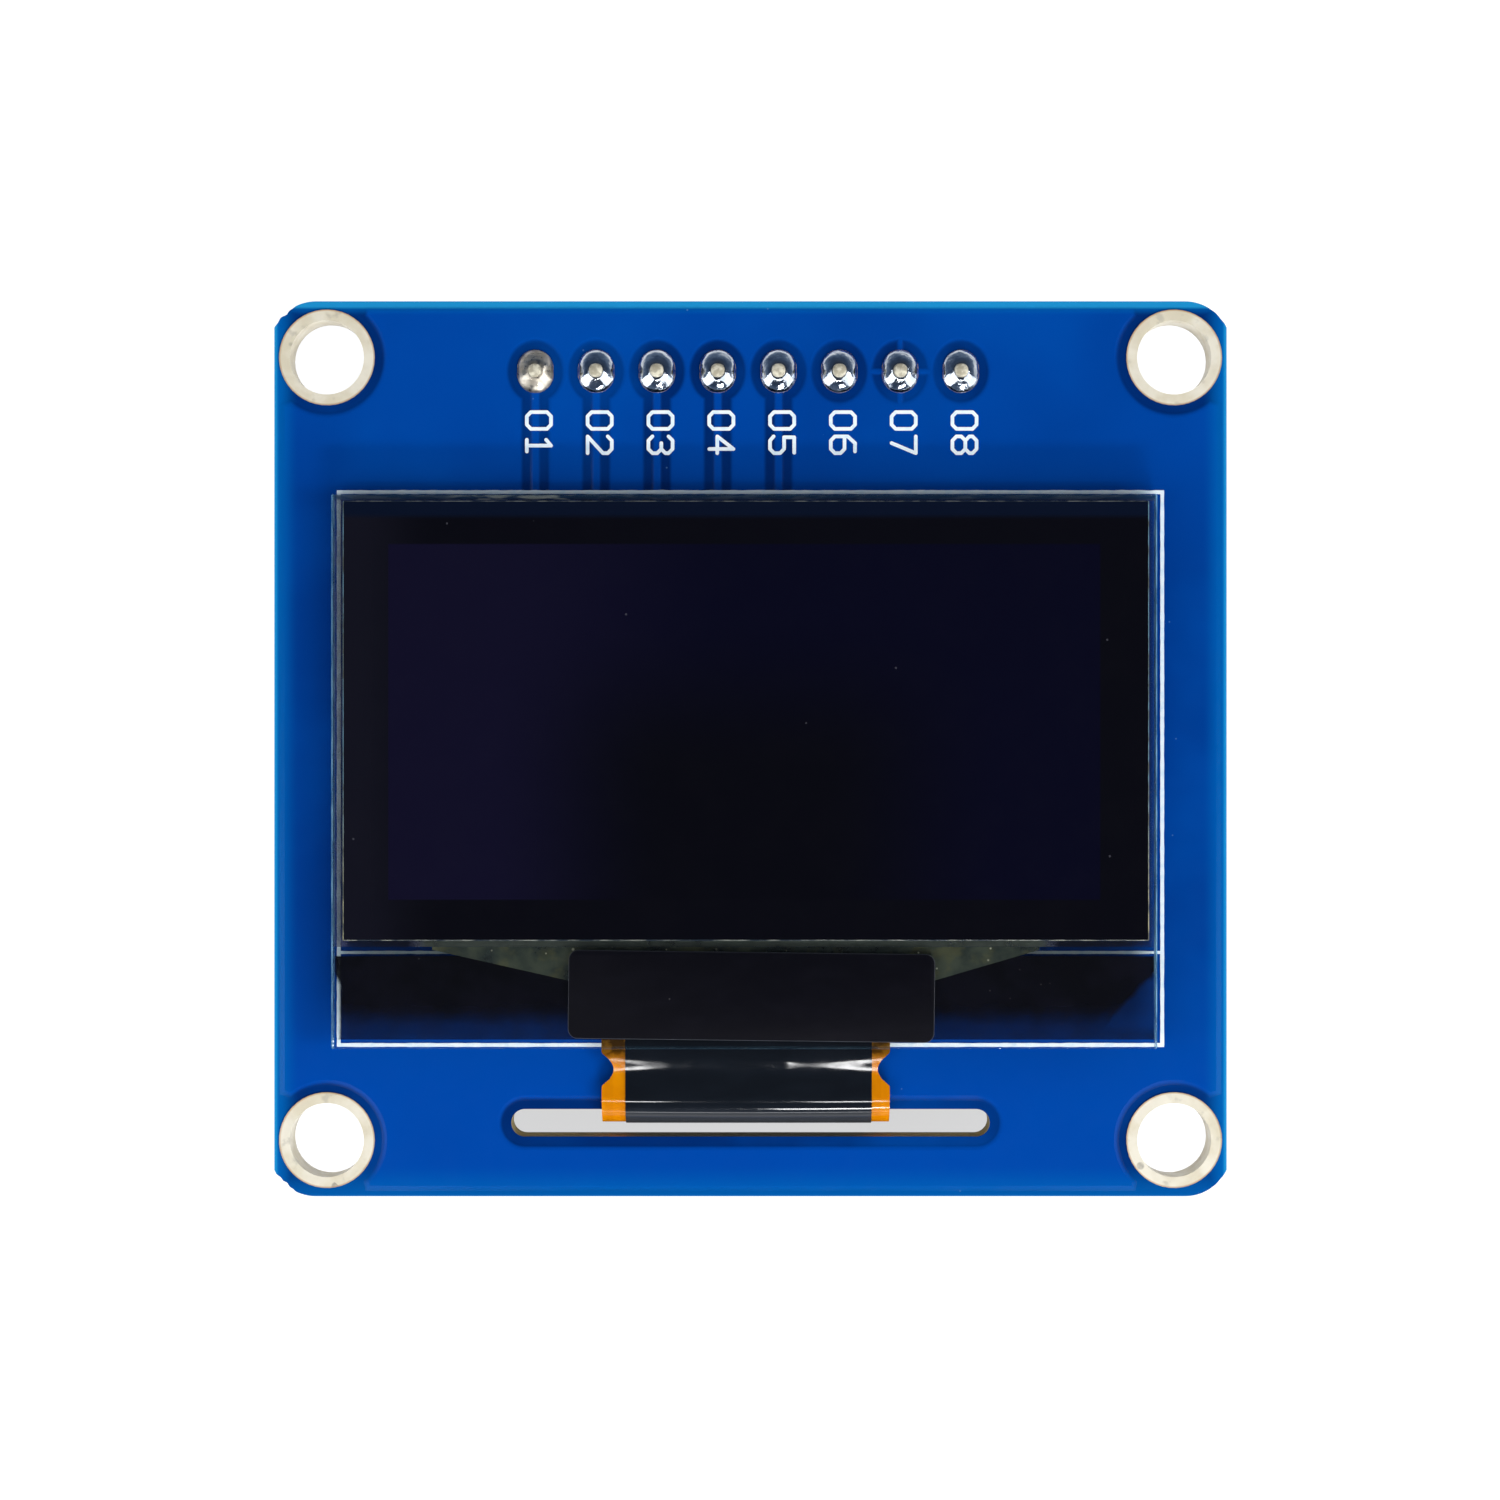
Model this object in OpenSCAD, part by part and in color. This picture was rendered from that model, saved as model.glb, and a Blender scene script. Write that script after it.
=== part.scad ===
// Small OLED display module.
// A circuit board carries a glass display panel on its front face. Below the picture the
// front glass is a bare ledge: the driver chip and the flexible circuit are bonded to its
// back, under resin and a black shield. The circuit bends down through a slot in the board
// and is soldered to the rear face, next to the chip parts and a straight pin header.
// Frame: millimetres, origin at the centre of the mounting holes on the board's rear face,
// +Z out of the display, +Y towards the pin header.

/* [Board] */
// Width of the board, along X
board_w = 39.8; // [39.6:0.1:48]
// Height of the board, along Y
board_h = 37.4; // [37:0.1:46]
// Thickness of the laminate
board_t = 1.6; // [1.2:0.2:2.4]
// Laminate left outside each mounting hole at the rounded corners
corner_wall = 1; // [0.9:0.05:1.4]

/* [Mounting holes] */
// Distance from a hole's centre to the board's side edge
hole_inset_x = 2.2; // [2.1:0.05:2.5]
// Distance from a hole's centre to the board's upper or lower edge
hole_inset_y = 2.35; // [2.1:0.05:2.7]
// Clear diameter of the plated hole
hole_d = 3.1; // [2.2:0.1:3.2]
// Width of the tinned ring around each hole
ring_w = 0.45; // [0.3:0.05:0.5]
// Thickness of the copper plating and of the rings
plating_t = 0.05; // [0.03:0.01:0.08]

/* [Pin header] */
// Number of pins
pin_count = 8; // [4:1:10]
// Distance between pins
pin_pitch = 2.54; // [2.54:0.01:2.6]
// Width of a square pin
pin_w = 0.64; // [0.5:0.02:0.7]
// Distance from the pin row to the board's upper edge
header_inset = 2.93; // [2:0.01:3.2]
// Sideways offset of the pin row from the board's centre
header_shift = -0.1; // [-0.5:0.1:0.5]
// Height of each pin's blunt end above the solder
pin_tip_h = 0.06; // [0.02:0.01:0.4]
// Free length of each pin below the plastic
pin_free_l = 6; // [4:0.5:9]
// Length of the taper at both ends of a pin
pin_taper_l = 0.5; // [0.3:0.1:0.6]
// Width of a pin's blunt end
pin_end_w = 0.36; // [0.3:0.02:0.42]
// Depth of the header's plastic, along Y
housing_w = 2.5; // [2.2:0.1:2.6]
// Height of the header's plastic
housing_h = 2.5; // [2:0.1:3]
// Chamfer at the corners of each segment of the plastic
housing_chamfer = 0.45; // [0.3:0.05:0.7]
// Gap between a pin's corners and its plated hole
pin_clearance = 0.05; // [0.03:0.01:0.1]
// Width of the pad around each header hole
pad_w = 0.2; // [0.15:0.01:0.25]
// How much longer than wide each oval pad is
pad_stretch = 0.3; // [0.1:0.05:0.6]
// Height of the solder above the pad
joint_h = 0.45; // [0.4:0.05:1.2]

/* [Display panel] */
// Width of the pixel area
active_w = 29.42; // [28:0.02:30]
// Height of the pixel area
active_h = 14.7; // [14:0.1:15]
// Distance from the pixel area to the glass's side edges
border_x = 2.39; // [2.2:0.01:2.8]
// Distance from the pixel area to the glass's upper edge
border_top = 2.1; // [1.9:0.1:2.4]
// Distance from the pixel area to the lower edge of the cap glass
border_bottom = 2; // [1.8:0.1:2.4]
// Sideways offset of the panel's centre from the board's centre
panel_x = -0.26; // [-0.5:0.02:0.5]
// Offset of the panel's centre from the board's centre, along Y
panel_y = -0.94; // [-1.4:0.02:-0.4]
// Thickness of the front glass
glass_t = 0.65; // [0.5:0.05:1.1]
// Thickness of the rear cap glass
cap_t = 0.55; // [0.5:0.05:0.9]
// Thickness of the sealing frame between the two glasses
seal_t = 0.05; // [0.04:0.01:0.1]
// Width of the sealing frame
seal_w = 0.9; // [0.6:0.1:1.2]
// Thickness of the tape between the panel and the board
tape_t = 0.15; // [0.1:0.05:0.4]
// Distance from the cap glass's upper edge to the tape
tape_top = 1.04; // [0.5:0.02:1.5]
// Distance from the cap glass's other edges to the tape
tape_inset = 0.4; // [0.2:0.05:0.8]
// Thickness of the polariser film
polarizer_t = 0.18; // [0.12:0.02:0.3]
// Distance from the glass's left edge to the polariser
polarizer_left_inset = 0.5; // [0.1:0.02:0.7]
// Distance from the glass's right edge to the polariser
polarizer_right_inset = 0.36; // [0.1:0.02:0.7]
// Distance from the glass's upper edge to the polariser
polarizer_top_inset = 0.3; // [0.1:0.02:0.5]
// Distance from the polariser's lower edge to the lower edge of the cap glass
polarizer_gap = 0.3; // [0.2:0.02:0.6]
// Thickness of the pixel layers
active_t = 0.03; // [0.02:0.01:0.03]
// Depth of the pocket in the cap glass
pocket_d = 0.25; // [0.2:0.05:0.35]
// Thickness of the moisture getter in the pocket
getter_t = 0.18; // [0.1:0.02:0.19]
// Gap between the getter and the pocket's walls
getter_inset = 0.6; // [0.3:0.1:1]

/* [Flexible circuit] */
// Thickness of the base film
film_t = 0.1; // [0.08:0.01:0.13]
// Thickness of the black cover layer on its outer face
cover_t = 0.05; // [0.03:0.01:0.08]
// Width of the neck that passes through the slot
neck_w = 12; // [11:0.1:13]
// Sideways offset of the neck from the panel's centre
neck_shift = 0.06; // [-0.3:0.02:0.3]
// Overlap of the film and the glass ledge
film_lap = 1.9; // [1.6:0.05:2]
// Overlap of the black cover layer and the glass ledge
cover_lap = 0.7; // [0.5:0.05:0.8]
// Width of the black cover layer on the neck
cover_w = 10.26; // [9:0.02:10.6]
// Sideways offset of the cover layer from the neck
cover_shift = 0.12; // [-0.2:0.02:0.2]
// Distance from the glass's lower edge to the notches in the neck
notch_gap = 0.9; // [0.8:0.05:1.1]
// Radius of the notches in both sides of the neck
notch_r = 0.5; // [0.3:0.05:0.55]
// Drop of the film after it leaves the glass
film_dip = 0.14; // [0:0.02:0.2]
// Radius of the bend above the slot, at the film's middle
bend_r = 1.15; // [0.9:0.05:1.3]
// Radius of the bend behind the board, at the film's middle
rear_bend_r = 0.65; // [0.5:0.05:0.9]
// Bare film outside the outermost contacts of the tail
tail_margin = 0.34; // [0.2:0.02:0.5]
// Length of the tail's flat run behind the bend
tail_run = 2.4; // [2:0.1:4]
// Length of the slope that brings the tail back to the board
tail_slope = 1.8; // [1.5:0.1:2.5]
// Length of the tail's soldered end
tail_end = 2; // [1.6:0.1:2.6]
// Number of soldered contacts
contact_count = 30; // [20:1:30]
// Distance between contacts
contact_pitch = 0.62; // [0.5:0.01:0.62]
// Width of one soldered contact
contact_w = 0.34; // [0.2:0.02:0.4]

/* [Slot in the board] */
// Distance from the glass's lower edge to the slot's centre line
slot_gap = 3.19; // [3.1:0.01:3.3]
// Gap between the tail and each end of the slot, through which the tail is fed
slot_end_gap = 0.5; // [0.3:0.05:1]
// Width of the slot
slot_w = 1.15; // [1:0.05:1.4]

/* [Ledge] */
// Length of the driver chip
chip_l = 7; // [6:0.1:9]
// Width of the driver chip
chip_w = 0.9; // [0.8:0.05:1]
// Height of the driver chip
chip_h = 0.3; // [0.25:0.05:0.35]
// Distance from the cap glass to the driver chip
chip_gap = 0.9; // [0.7:0.05:1]
// Distance from the driver chip to the film's end
chip_film_gap = 0.5; // [0.3:0.05:0.8]
// Thickness of the pale resin that seals the edge of the cap glass
edge_resin_t = 0.1; // [0.06:0.02:0.14]
// Height of the pale resin behind the shield
edge_resin_h = 1.4; // [1:0.1:1.6]
// Height of the pale resin at its two tips
edge_resin_tip = 0.12; // [0.1:0.02:0.3]
// Length of the pale resin beyond the left side of the shield
edge_resin_left = 5.7; // [4:0.1:7]
// Length of the pale resin beyond the right side of the shield
edge_resin_right = 4.4; // [3:0.1:6]
// Gap between the dark resin on the ledge and the board
resin_gap = 0.2; // [0.15:0.05:0.3]
// Distance from the glass's lower edge to the thin edge of the dark resin
resin_inset = 0.35; // [0.2:0.05:0.6]
// Thickness of the dark resin at its thin edge
resin_edge_t = 0.03; // [0.02:0.01:0.06]
// Width of the black shield in front of the ledge
shield_w = 15.15; // [14:0.05:16.5]
// Distance from the shield's upper edge to the cap glass
shield_top = 0.17; // [0.1:0.01:0.4]
// Distance from the shield's lower edge to the glass's lower edge
shield_bottom = 0.37; // [0.3:0.01:0.6]
// Thickness of the shield
shield_t = 0.1; // [0.06:0.01:0.15]
// Corner radius of the shield
shield_r = 0.4; // [0.2:0.05:0.8]
// Sideways offset of the shield from the neck
shield_shift = 0.24; // [-0.3:0.02:0.3]
// Tilt of the shield, which is laid by hand, in degrees
shield_tilt = -0.7; // [-1:0.1:1]

/* [Chip parts] */
// Length of a chip capacitor or resistor
chip_part_l = 1.6; // [1.4:0.1:2]
// Width of a chip capacitor or resistor
chip_part_w = 0.8; // [0.7:0.05:1.2]
// Height of a chip capacitor
capacitor_h = 0.8; // [0.6:0.05:1]
// Height of a chip resistor
resistor_h = 0.45; // [0.35:0.05:0.6]
// Length of the metal end on each chip part
terminal_l = 0.35; // [0.2:0.05:0.5]
// Thickness of the metal end around the ceramic
terminal_t = 0.03; // [0.02:0.01:0.06]
// Distance between chip parts in a row
chip_part_pitch = 2.9; // [2.4:0.1:3.1]
// Distance between rows of parts on the rear face
row_gap = 4; // [3.4:0.1:4.6]
// Length of the voltage regulator's body, along X
regulator_l = 2.9; // [2.7:0.1:3.1]
// Width of the voltage regulator's body
regulator_w = 1.3; // [1.2:0.05:1.7]
// Height of the voltage regulator above the board
regulator_h = 1.1; // [1:0.05:1.3]
// Distance between the regulator's two side-by-side leads
lead_pitch = 1.9; // [1.7:0.05:2]
// Width of one lead
lead_w = 0.4; // [0.3:0.05:0.5]

/* [Hidden] */
$fn = 48;
mount_count = 4;
capacitor_count = 8; // six in the first row, two beside the regulator
row_capacitors = 6;
resistor_count = 5;
arc_steps = 10; // straight pieces in each quarter bend of the film
slope_steps = 8; // straight pieces in each S-shaped slope of the film

// Board and header
hole_x = board_w / 2 - hole_inset_x;
hole_y = board_h / 2 - hole_inset_y;
corner_r = max(hole_d / 2 + corner_wall, hole_inset_x, hole_inset_y);
pad_d = hole_d + 2 * ring_w;
header_y = board_h / 2 - header_inset;
pad_top = board_t + plating_t;
pin_top = pad_top + joint_h + pin_tip_h;
pin_bottom = -housing_h - pin_free_l;
pin_bore_r = pin_w / 2 * sqrt(2) + pin_clearance;
pin_drill_d = 2 * (pin_bore_r + plating_t);
joint_w = pin_drill_d + 2 * pad_w;
joint_l = joint_w + pad_stretch;
joint_top_r = pin_end_w / 2 * sqrt(2) + 0.05;

// Panel, from the tape up
ledge_h = chip_gap + chip_w + chip_film_gap + film_lap;
cap_h = border_top + active_h + border_bottom;
panel_w = active_w + 2 * border_x;
panel_h = cap_h + ledge_h;
panel_top = panel_y + panel_h / 2;
panel_bottom = panel_y - panel_h / 2;
panel_left = panel_x - panel_w / 2;
cap_bottom = panel_top - cap_h;
z_cap = board_t + tape_t;
z_seal = z_cap + cap_t;
z_glass = z_seal + seal_t;
z_polarizer = z_glass + glass_t;
polarizer_left = panel_left + polarizer_left_inset;
polarizer_bottom = cap_bottom + polarizer_gap;
polarizer_w = panel_w - polarizer_left_inset - polarizer_right_inset;
polarizer_h = cap_h - polarizer_top_inset - polarizer_gap;
pocket_w = panel_w - 2 * seal_w;
pocket_h = cap_h - 2 * seal_w;
cap_y = panel_top - cap_h / 2;

// Flexible circuit: the film's middle line runs in the YZ plane
tail_w = (contact_count - 1) * contact_pitch + contact_w + 2 * tail_margin;
slot_l = tail_w + 2 * slot_end_gap;
slot_y = panel_bottom - slot_gap;
neck_x = panel_x + neck_shift;
film_end = panel_bottom + film_lap;
cover_end = panel_bottom + cover_lap;
notch_y = panel_bottom - notch_gap;
flex_t = film_t + cover_t;
film_y = slot_y + cover_t / 2; // film and cover share the slot's middle
z_bond = z_glass - cover_t - film_t / 2;
z_dipped = z_bond - film_dip;
dip_start = panel_bottom - 0.1;
dip_l = 1.2;
z_rear_bend = -0.1;
z_tail = z_rear_bend - rear_bend_r;
z_soldered = -film_t / 2;
tail_flat_start = film_y + rear_bend_r;
tail_slope_start = tail_flat_start + tail_run;
tail_solder_start = tail_slope_start + tail_slope;
tail_tip = tail_solder_start + tail_end;
cover_margin = 0.25; // bare film around the cover on the tail
split_z = board_t / 2; // above it the front outline holds, below it the rear one

// Ledge
chip_y = cap_bottom - chip_gap - chip_w / 2;
shield_x = neck_x + shield_shift;
shield_h = ledge_h - shield_top - shield_bottom;
shield_y = panel_bottom + shield_bottom + shield_h / 2;

// Rows of parts on the rear face
capacitor_y = tail_tip + row_gap;
resistor_y = capacitor_y + row_gap;
regulator_y = resistor_y + row_gap;
fillet_l = 0.3; // solder in front of each metal end
lead_t = 0.15;
foot_l = 0.45;
lead_reach = 0.65; // from the regulator's side to a lead's toe

function numbered(name, count) = [for (i = [1:count]) str(name, i)];

// Place of pin i along X
function pin_x(i) = header_shift + (i - (pin_count + 1) / 2) * pin_pitch;

// Points of a quarter arc from angle a to angle b, in steps
function arc_points(cx, cy, r, a, b, steps) =
    [for (i = [0:steps]) let (t = a + (b - a) * i / steps) [cx + r * cos(t), cy + r * sin(t)]];

// Points of an S-shaped slope from one point to another
function slope_points(from, to, steps) =
    [for (i = [0:steps]) let (t = i / steps)
        [from[0] + (to[0] - from[0]) * t, from[1] + (to[1] - from[1]) * (1 - cos(180 * t)) / 2]];

// The film's middle line as [y, z] points, from its end on the ledge to its soldered end
film_path = concat(
    [[film_end, z_bond]],
    slope_points([dip_start, z_bond], [dip_start - dip_l, z_dipped], slope_steps),
    arc_points(film_y + bend_r, z_dipped - bend_r, bend_r, 90, 180, arc_steps),
    arc_points(film_y + rear_bend_r, z_rear_bend, rear_bend_r, 180, 270, arc_steps),
    slope_points([tail_slope_start, z_tail], [tail_solder_start, z_soldered], slope_steps),
    [[tail_tip, z_soldered]]
);

// Unit normal of a path at point i, to the left of its direction
function path_normal(path, i) =
    let (
        a = path[max(i - 1, 0)],
        b = path[min(i + 1, len(path) - 1)],
        d = b - a
    ) [-d[1], d[0]] / norm(d);

// A path moved sideways by s, positive to the left of its direction
function offset_path(path, s) = [for (i = [0:len(path) - 1]) path[i] + s * path_normal(path, i)];

// The same points in the opposite order
function reversed(points) = [for (i = [len(points) - 1:-1:0]) points[i]];

// Closed outline of a band along a path, between two sideways offsets
function band(path, s1, s2) = concat(offset_path(path, s1), reversed(offset_path(path, s2)));

// A box given by its centre in X and Y, its size and its lowest Z
module block(x, y, w, h, z, t) {
    translate([x - w / 2, y - h / 2, z]) cube([w, h, t]);
}

// A slot shape of overall length l and width w along X, drawn flat
module stadium(l, w) {
    square([l - w, w], center = true);
    for (side = [-1, 1]) translate([side * (l - w) / 2, 0]) circle(d = w);
}

// A rectangle with rounded corners, drawn flat about its centre
module rounded_rectangle(w, h, r) {
    square([w - 2 * r, h], center = true);
    square([w, h - 2 * r], center = true);
    for (sx = [-1, 1], sy = [-1, 1]) translate([sx * (w / 2 - r), sy * (h / 2 - r)]) circle(r);
}

// Draws a flat outline in the YZ plane and pulls it w wide along X, about its middle
module pull_along_x(w) {
    rotate([90, 0, 90]) linear_extrude(w, center = true) children();
}

// Puts parts that were drawn standing on Z = 0 on the board's rear face
module on_rear(x, y, angle = 0) {
    translate([x, y, 0]) mirror([0, 0, 1]) rotate(angle) children();
}

// Places of mounting hole i, counted round the board
module at_hole(i) {
    side_x = i == 1 || i == 4 ? -1 : 1;
    side_y = i <= 2 ? 1 : -1;
    translate([side_x * hole_x, side_y * hole_y, 0]) children();
}

module board_outline() {
    square([2 * hole_x, board_h], center = true);
    square([board_w, 2 * hole_y], center = true);
    intersection() {
        square([board_w, board_h], center = true);
        for (i = [1:mount_count]) at_hole(i) circle(corner_r);
    }
}

module pcb() {
    color([0, 0.25, 0.6]) difference() {
        linear_extrude(board_t) board_outline();
        for (i = [1:mount_count]) at_hole(i)
            translate([0, 0, -1]) cylinder(h = board_t + 2, d = hole_d + 2 * plating_t);
        for (i = [1:pin_count]) translate([pin_x(i), header_y, -1])
            cylinder(h = board_t + 2, d = pin_drill_d);
        translate([0, slot_y, -1]) linear_extrude(board_t + 2) stadium(slot_l, slot_w);
    }
}

// A plated hole with a flat ring on both faces of the board
module mounting_pad(i) {
    r = hole_d / 2;
    color([0.86, 0.82, 0.72]) at_hole(i) rotate_extrude() {
        translate([r, -plating_t]) square([plating_t, board_t + 2 * plating_t]);
        for (z = [-plating_t, board_t]) translate([r, z]) square([pad_d / 2 - r, plating_t]);
    }
}

// Flat ring of a header pad, with its bore
module pad_ring() {
    linear_extrude(plating_t) difference() {
        rotate(90) stadium(joint_l, joint_w);
        circle(pin_bore_r);
    }
}

module header_pads() {
    color([0.8, 0.78, 0.72]) for (i = [1:pin_count]) translate([pin_x(i), header_y, 0]) {
        translate([0, 0, board_t]) pad_ring();
        translate([0, 0, -plating_t]) pad_ring();
        difference() {
            cylinder(h = board_t, d = pin_drill_d);
            translate([0, 0, -1]) cylinder(h = board_t + 2, r = pin_bore_r);
        }
    }
}

// Side view of a pin: a bar with tapered ends
module pin_profile() {
    a = pin_w / 2;
    b = pin_end_w / 2;
    polygon([
        [b, pin_top], [a, pin_top - pin_taper_l], [a, pin_bottom + pin_taper_l], [b, pin_bottom],
        [-b, pin_bottom], [-a, pin_bottom + pin_taper_l], [-a, pin_top - pin_taper_l], [-b, pin_top]
    ]);
}

module header_pin(i) {
    color([0.83, 0.72, 0.42]) translate([pin_x(i), header_y, 0]) intersection() {
        rotate([90, 0, 0]) linear_extrude(pin_w, center = true) pin_profile();
        rotate([90, 0, 90]) linear_extrude(pin_w, center = true) pin_profile();
    }
}

module housing_segment() {
    w = pin_pitch / 2;
    h = housing_w / 2;
    c = housing_chamfer;
    difference() {
        polygon([
            [w, h - c], [w - c, h], [c - w, h], [-w, h - c],
            [-w, c - h], [c - w, -h], [w - c, -h], [w, c - h]
        ]);
        square(pin_w, center = true);
    }
}

module header_housing() {
    z_top = -plating_t;
    color([0.06, 0.06, 0.07]) for (i = [1:pin_count])
        translate([pin_x(i), header_y, -housing_h]) linear_extrude(housing_h + z_top) housing_segment();
}

// Half side view of the solder: a rounded dome over the pad, blunt at the pin's end
module dome_profile(r) {
    polygon(concat(
        [[0, 0]],
        [for (t = [0:15:90]) [joint_top_r + (r - joint_top_r) * cos(t), joint_h * sin(t)]],
        [[0, joint_h]]
    ));
}

// Solder of one pin: a dome over an oval pad and the filling of the plated hole
module solder_joint(i) {
    r = joint_w / 2;
    half = (joint_l - joint_w) / 2;
    color([0.75, 0.75, 0.74]) translate([pin_x(i), header_y, 0]) difference() {
        union() {
            translate([0, 0, pad_top]) {
                for (side = [-1, 1]) translate([0, side * half, 0]) rotate_extrude() dome_profile(r);
                rotate([90, 0, 0]) linear_extrude(2 * half, center = true) {
                    dome_profile(r);
                    mirror([1, 0]) dome_profile(r);
                }
            }
            translate([0, 0, -plating_t]) cylinder(h = pad_top + plating_t, r = pin_bore_r);
        }
        translate([0, 0, -1]) linear_extrude(pin_top - pin_taper_l + 1) square(pin_w, center = true);
        intersection() {
            rotate([90, 0, 0]) linear_extrude(pin_w, center = true) pin_profile();
            rotate([90, 0, 90]) linear_extrude(pin_w, center = true) pin_profile();
        }
    }
}

module panel_tape() {
    color([0.05, 0.05, 0.06]) translate([panel_left + tape_inset, cap_bottom + tape_inset, board_t])
        cube([panel_w - 2 * tape_inset, cap_h - tape_top - tape_inset, tape_t]);
}

module cap_glass() {
    color([0.55, 0.68, 0.72, 0.5]) difference() {
        block(panel_x, cap_y, panel_w, cap_h, z_cap, cap_t);
        block(panel_x, cap_y, pocket_w, pocket_h, z_seal - pocket_d, pocket_d + 1);
    }
}

module moisture_getter() {
    g = 2 * getter_inset;
    color([0.1, 0.1, 0.11])
        block(panel_x, cap_y, pocket_w - g, pocket_h - g, z_seal - pocket_d, getter_t);
}

module edge_seal() {
    color([0.75, 0.73, 0.6]) difference() {
        block(panel_x, cap_y, panel_w, cap_h, z_seal, seal_t);
        block(panel_x, cap_y, pocket_w, pocket_h, z_seal - 1, seal_t + 2);
    }
}

module pixel_layers() {
    y = panel_top - border_top - active_h / 2;
    color([0.05, 0.05, 0.12]) block(panel_x, y, active_w, active_h, z_glass - active_t, active_t);
}

module front_glass() {
    color([0.6, 0.72, 0.76, 0.5]) block(panel_x, panel_y, panel_w, panel_h, z_glass, glass_t);
}

module polarizer() {
    color([0.03, 0.03, 0.06]) translate([polarizer_left, polarizer_bottom, z_polarizer])
        cube([polarizer_w, polarizer_h, polarizer_t]);
}

// Bonded face down on the back of the ledge
module driver_chip() {
    color([0.2, 0.2, 0.22]) block(neck_x, chip_y, chip_l, chip_w, z_glass - chip_h, chip_h);
}

// Outline of the pale resin: it tapers away from both sides of the shield
module edge_resin_outline() {
    left = shield_x - shield_w / 2;
    right = shield_x + shield_w / 2;
    low = cap_bottom - edge_resin_h;
    tip = cap_bottom - edge_resin_tip;
    polygon([
        [left - edge_resin_left, cap_bottom], [left - edge_resin_left, tip], [left, low],
        [right, low], [right + edge_resin_right, tip], [right + edge_resin_right, cap_bottom]
    ]);
}

module edge_resin() {
    color([0.5, 0.56, 0.5, 0.8]) difference() {
        translate([0, 0, z_glass - edge_resin_t]) linear_extrude(edge_resin_t) edge_resin_outline();
        block(neck_x, chip_y, chip_l, chip_w, z_glass - chip_h, 2 * chip_h);
    }
}

// Dark resin over the chip and the film's end: deep at the cap glass, thin at the ledge's edge
module ledge_resin() {
    low = panel_bottom + resin_inset;
    deep = board_t + resin_gap;
    bend = cap_bottom - edge_resin_h;
    side = panel_w / 2;
    color([0.05, 0.05, 0.08, 0.9]) difference() {
        intersection() {
            translate([panel_x, 0, 0]) pull_along_x(panel_w) polygon([
                [cap_bottom, z_glass], [cap_bottom, deep], [bend, deep + 0.05],
                [low, z_glass - resin_edge_t], [low, z_glass]
            ]);
            translate([panel_x, 0, 0]) linear_extrude(z_glass + 1) polygon([
                [-side, cap_bottom], [side, cap_bottom], [side, bend],
                [side - 2 * resin_inset, low], [2 * resin_inset - side, low], [-side, bend]
            ]);
        }
        translate([0, 0, z_glass - edge_resin_t]) linear_extrude(1) edge_resin_outline();
        block(neck_x, chip_y, chip_l, chip_w, z_glass - chip_h, 1);
        translate([neck_x - neck_w / 2, panel_bottom, z_glass - flex_t]) cube([neck_w, film_lap, 1]);
    }
}

// Black film on the front of the ledge, which keeps light off the driver chip
module shield() {
    color([0.04, 0.04, 0.05]) translate([shield_x, shield_y, z_polarizer]) rotate(shield_tilt)
        linear_extrude(shield_t) rounded_rectangle(shield_w, shield_h, shield_r);
}

// Conductive adhesive between the film's contacts and the glass
module bond_strip() {
    color([0.6, 0.6, 0.55]) translate([neck_x - neck_w / 2, cover_end, z_glass - cover_t])
        cube([neck_w, film_end - cover_end, cover_t]);
}

// Notch in one side of the neck: a round hole with flared lips, drawn towards +X
module notch_outline() {
    lip = notch_r * 1.4;
    depth = notch_r * 0.7;
    circle(notch_r);
    polygon([[-depth, notch_r * 0.8], [0, lip], [1, lip], [1, -lip], [0, -lip], [-depth, -notch_r * 0.8]]);
}

// Film outline in front of the board and in the slot
module front_film_outline() {
    difference() {
        translate([neck_x - neck_w / 2, slot_y - slot_w]) square([neck_w, film_end + 1 - slot_y + slot_w]);
        for (side = [0, 1]) translate([neck_x, notch_y]) mirror([side, 0])
            translate([neck_w / 2, 0]) notch_outline();
    }
}

// Film outline behind the board: the neck widens into the tail
module rear_film_outline(neck, tail, tip) {
    shoulder = (tail - neck) / 2 * 0.4;
    translate([neck_x, 0]) polygon([
        [-neck / 2, slot_y - slot_w], [neck / 2, slot_y - slot_w], [neck / 2, tail_flat_start],
        [tail / 2, tail_flat_start + shoulder], [tail / 2, tip],
        [-tail / 2, tip], [-tail / 2, tail_flat_start + shoulder], [-neck / 2, tail_flat_start]
    ]);
}

module flex_film() {
    color([0.9, 0.55, 0.05]) intersection() {
        translate([neck_x, 0, 0]) pull_along_x(tail_w + 2) polygon(band(film_path, film_t / 2, -film_t / 2));
        union() {
            translate([0, 0, split_z]) linear_extrude(z_glass) front_film_outline();
            translate([0, 0, z_tail - 1]) linear_extrude(split_z - z_tail + 1)
                rear_film_outline(neck_w, tail_w, tail_tip + 1);
        }
    }
}

// Black layer on the film's outer face
module flex_cover() {
    s = film_t / 2;
    tail = tail_w - 2 * cover_margin;
    color([0.05, 0.05, 0.06]) intersection() {
        translate([neck_x, 0, 0]) pull_along_x(tail_w + 2) polygon(band(film_path, -s, -s - cover_t));
        union() {
            translate([neck_x + cover_shift - cover_w / 2, slot_y - slot_w, split_z])
                cube([cover_w, cover_end - slot_y + slot_w, z_glass]);
            translate([cover_shift, 0, z_tail - 1]) linear_extrude(split_z - z_tail + 1)
                rear_film_outline(cover_w, tail, tail_solder_start - cover_margin);
        }
    }
}

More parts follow.
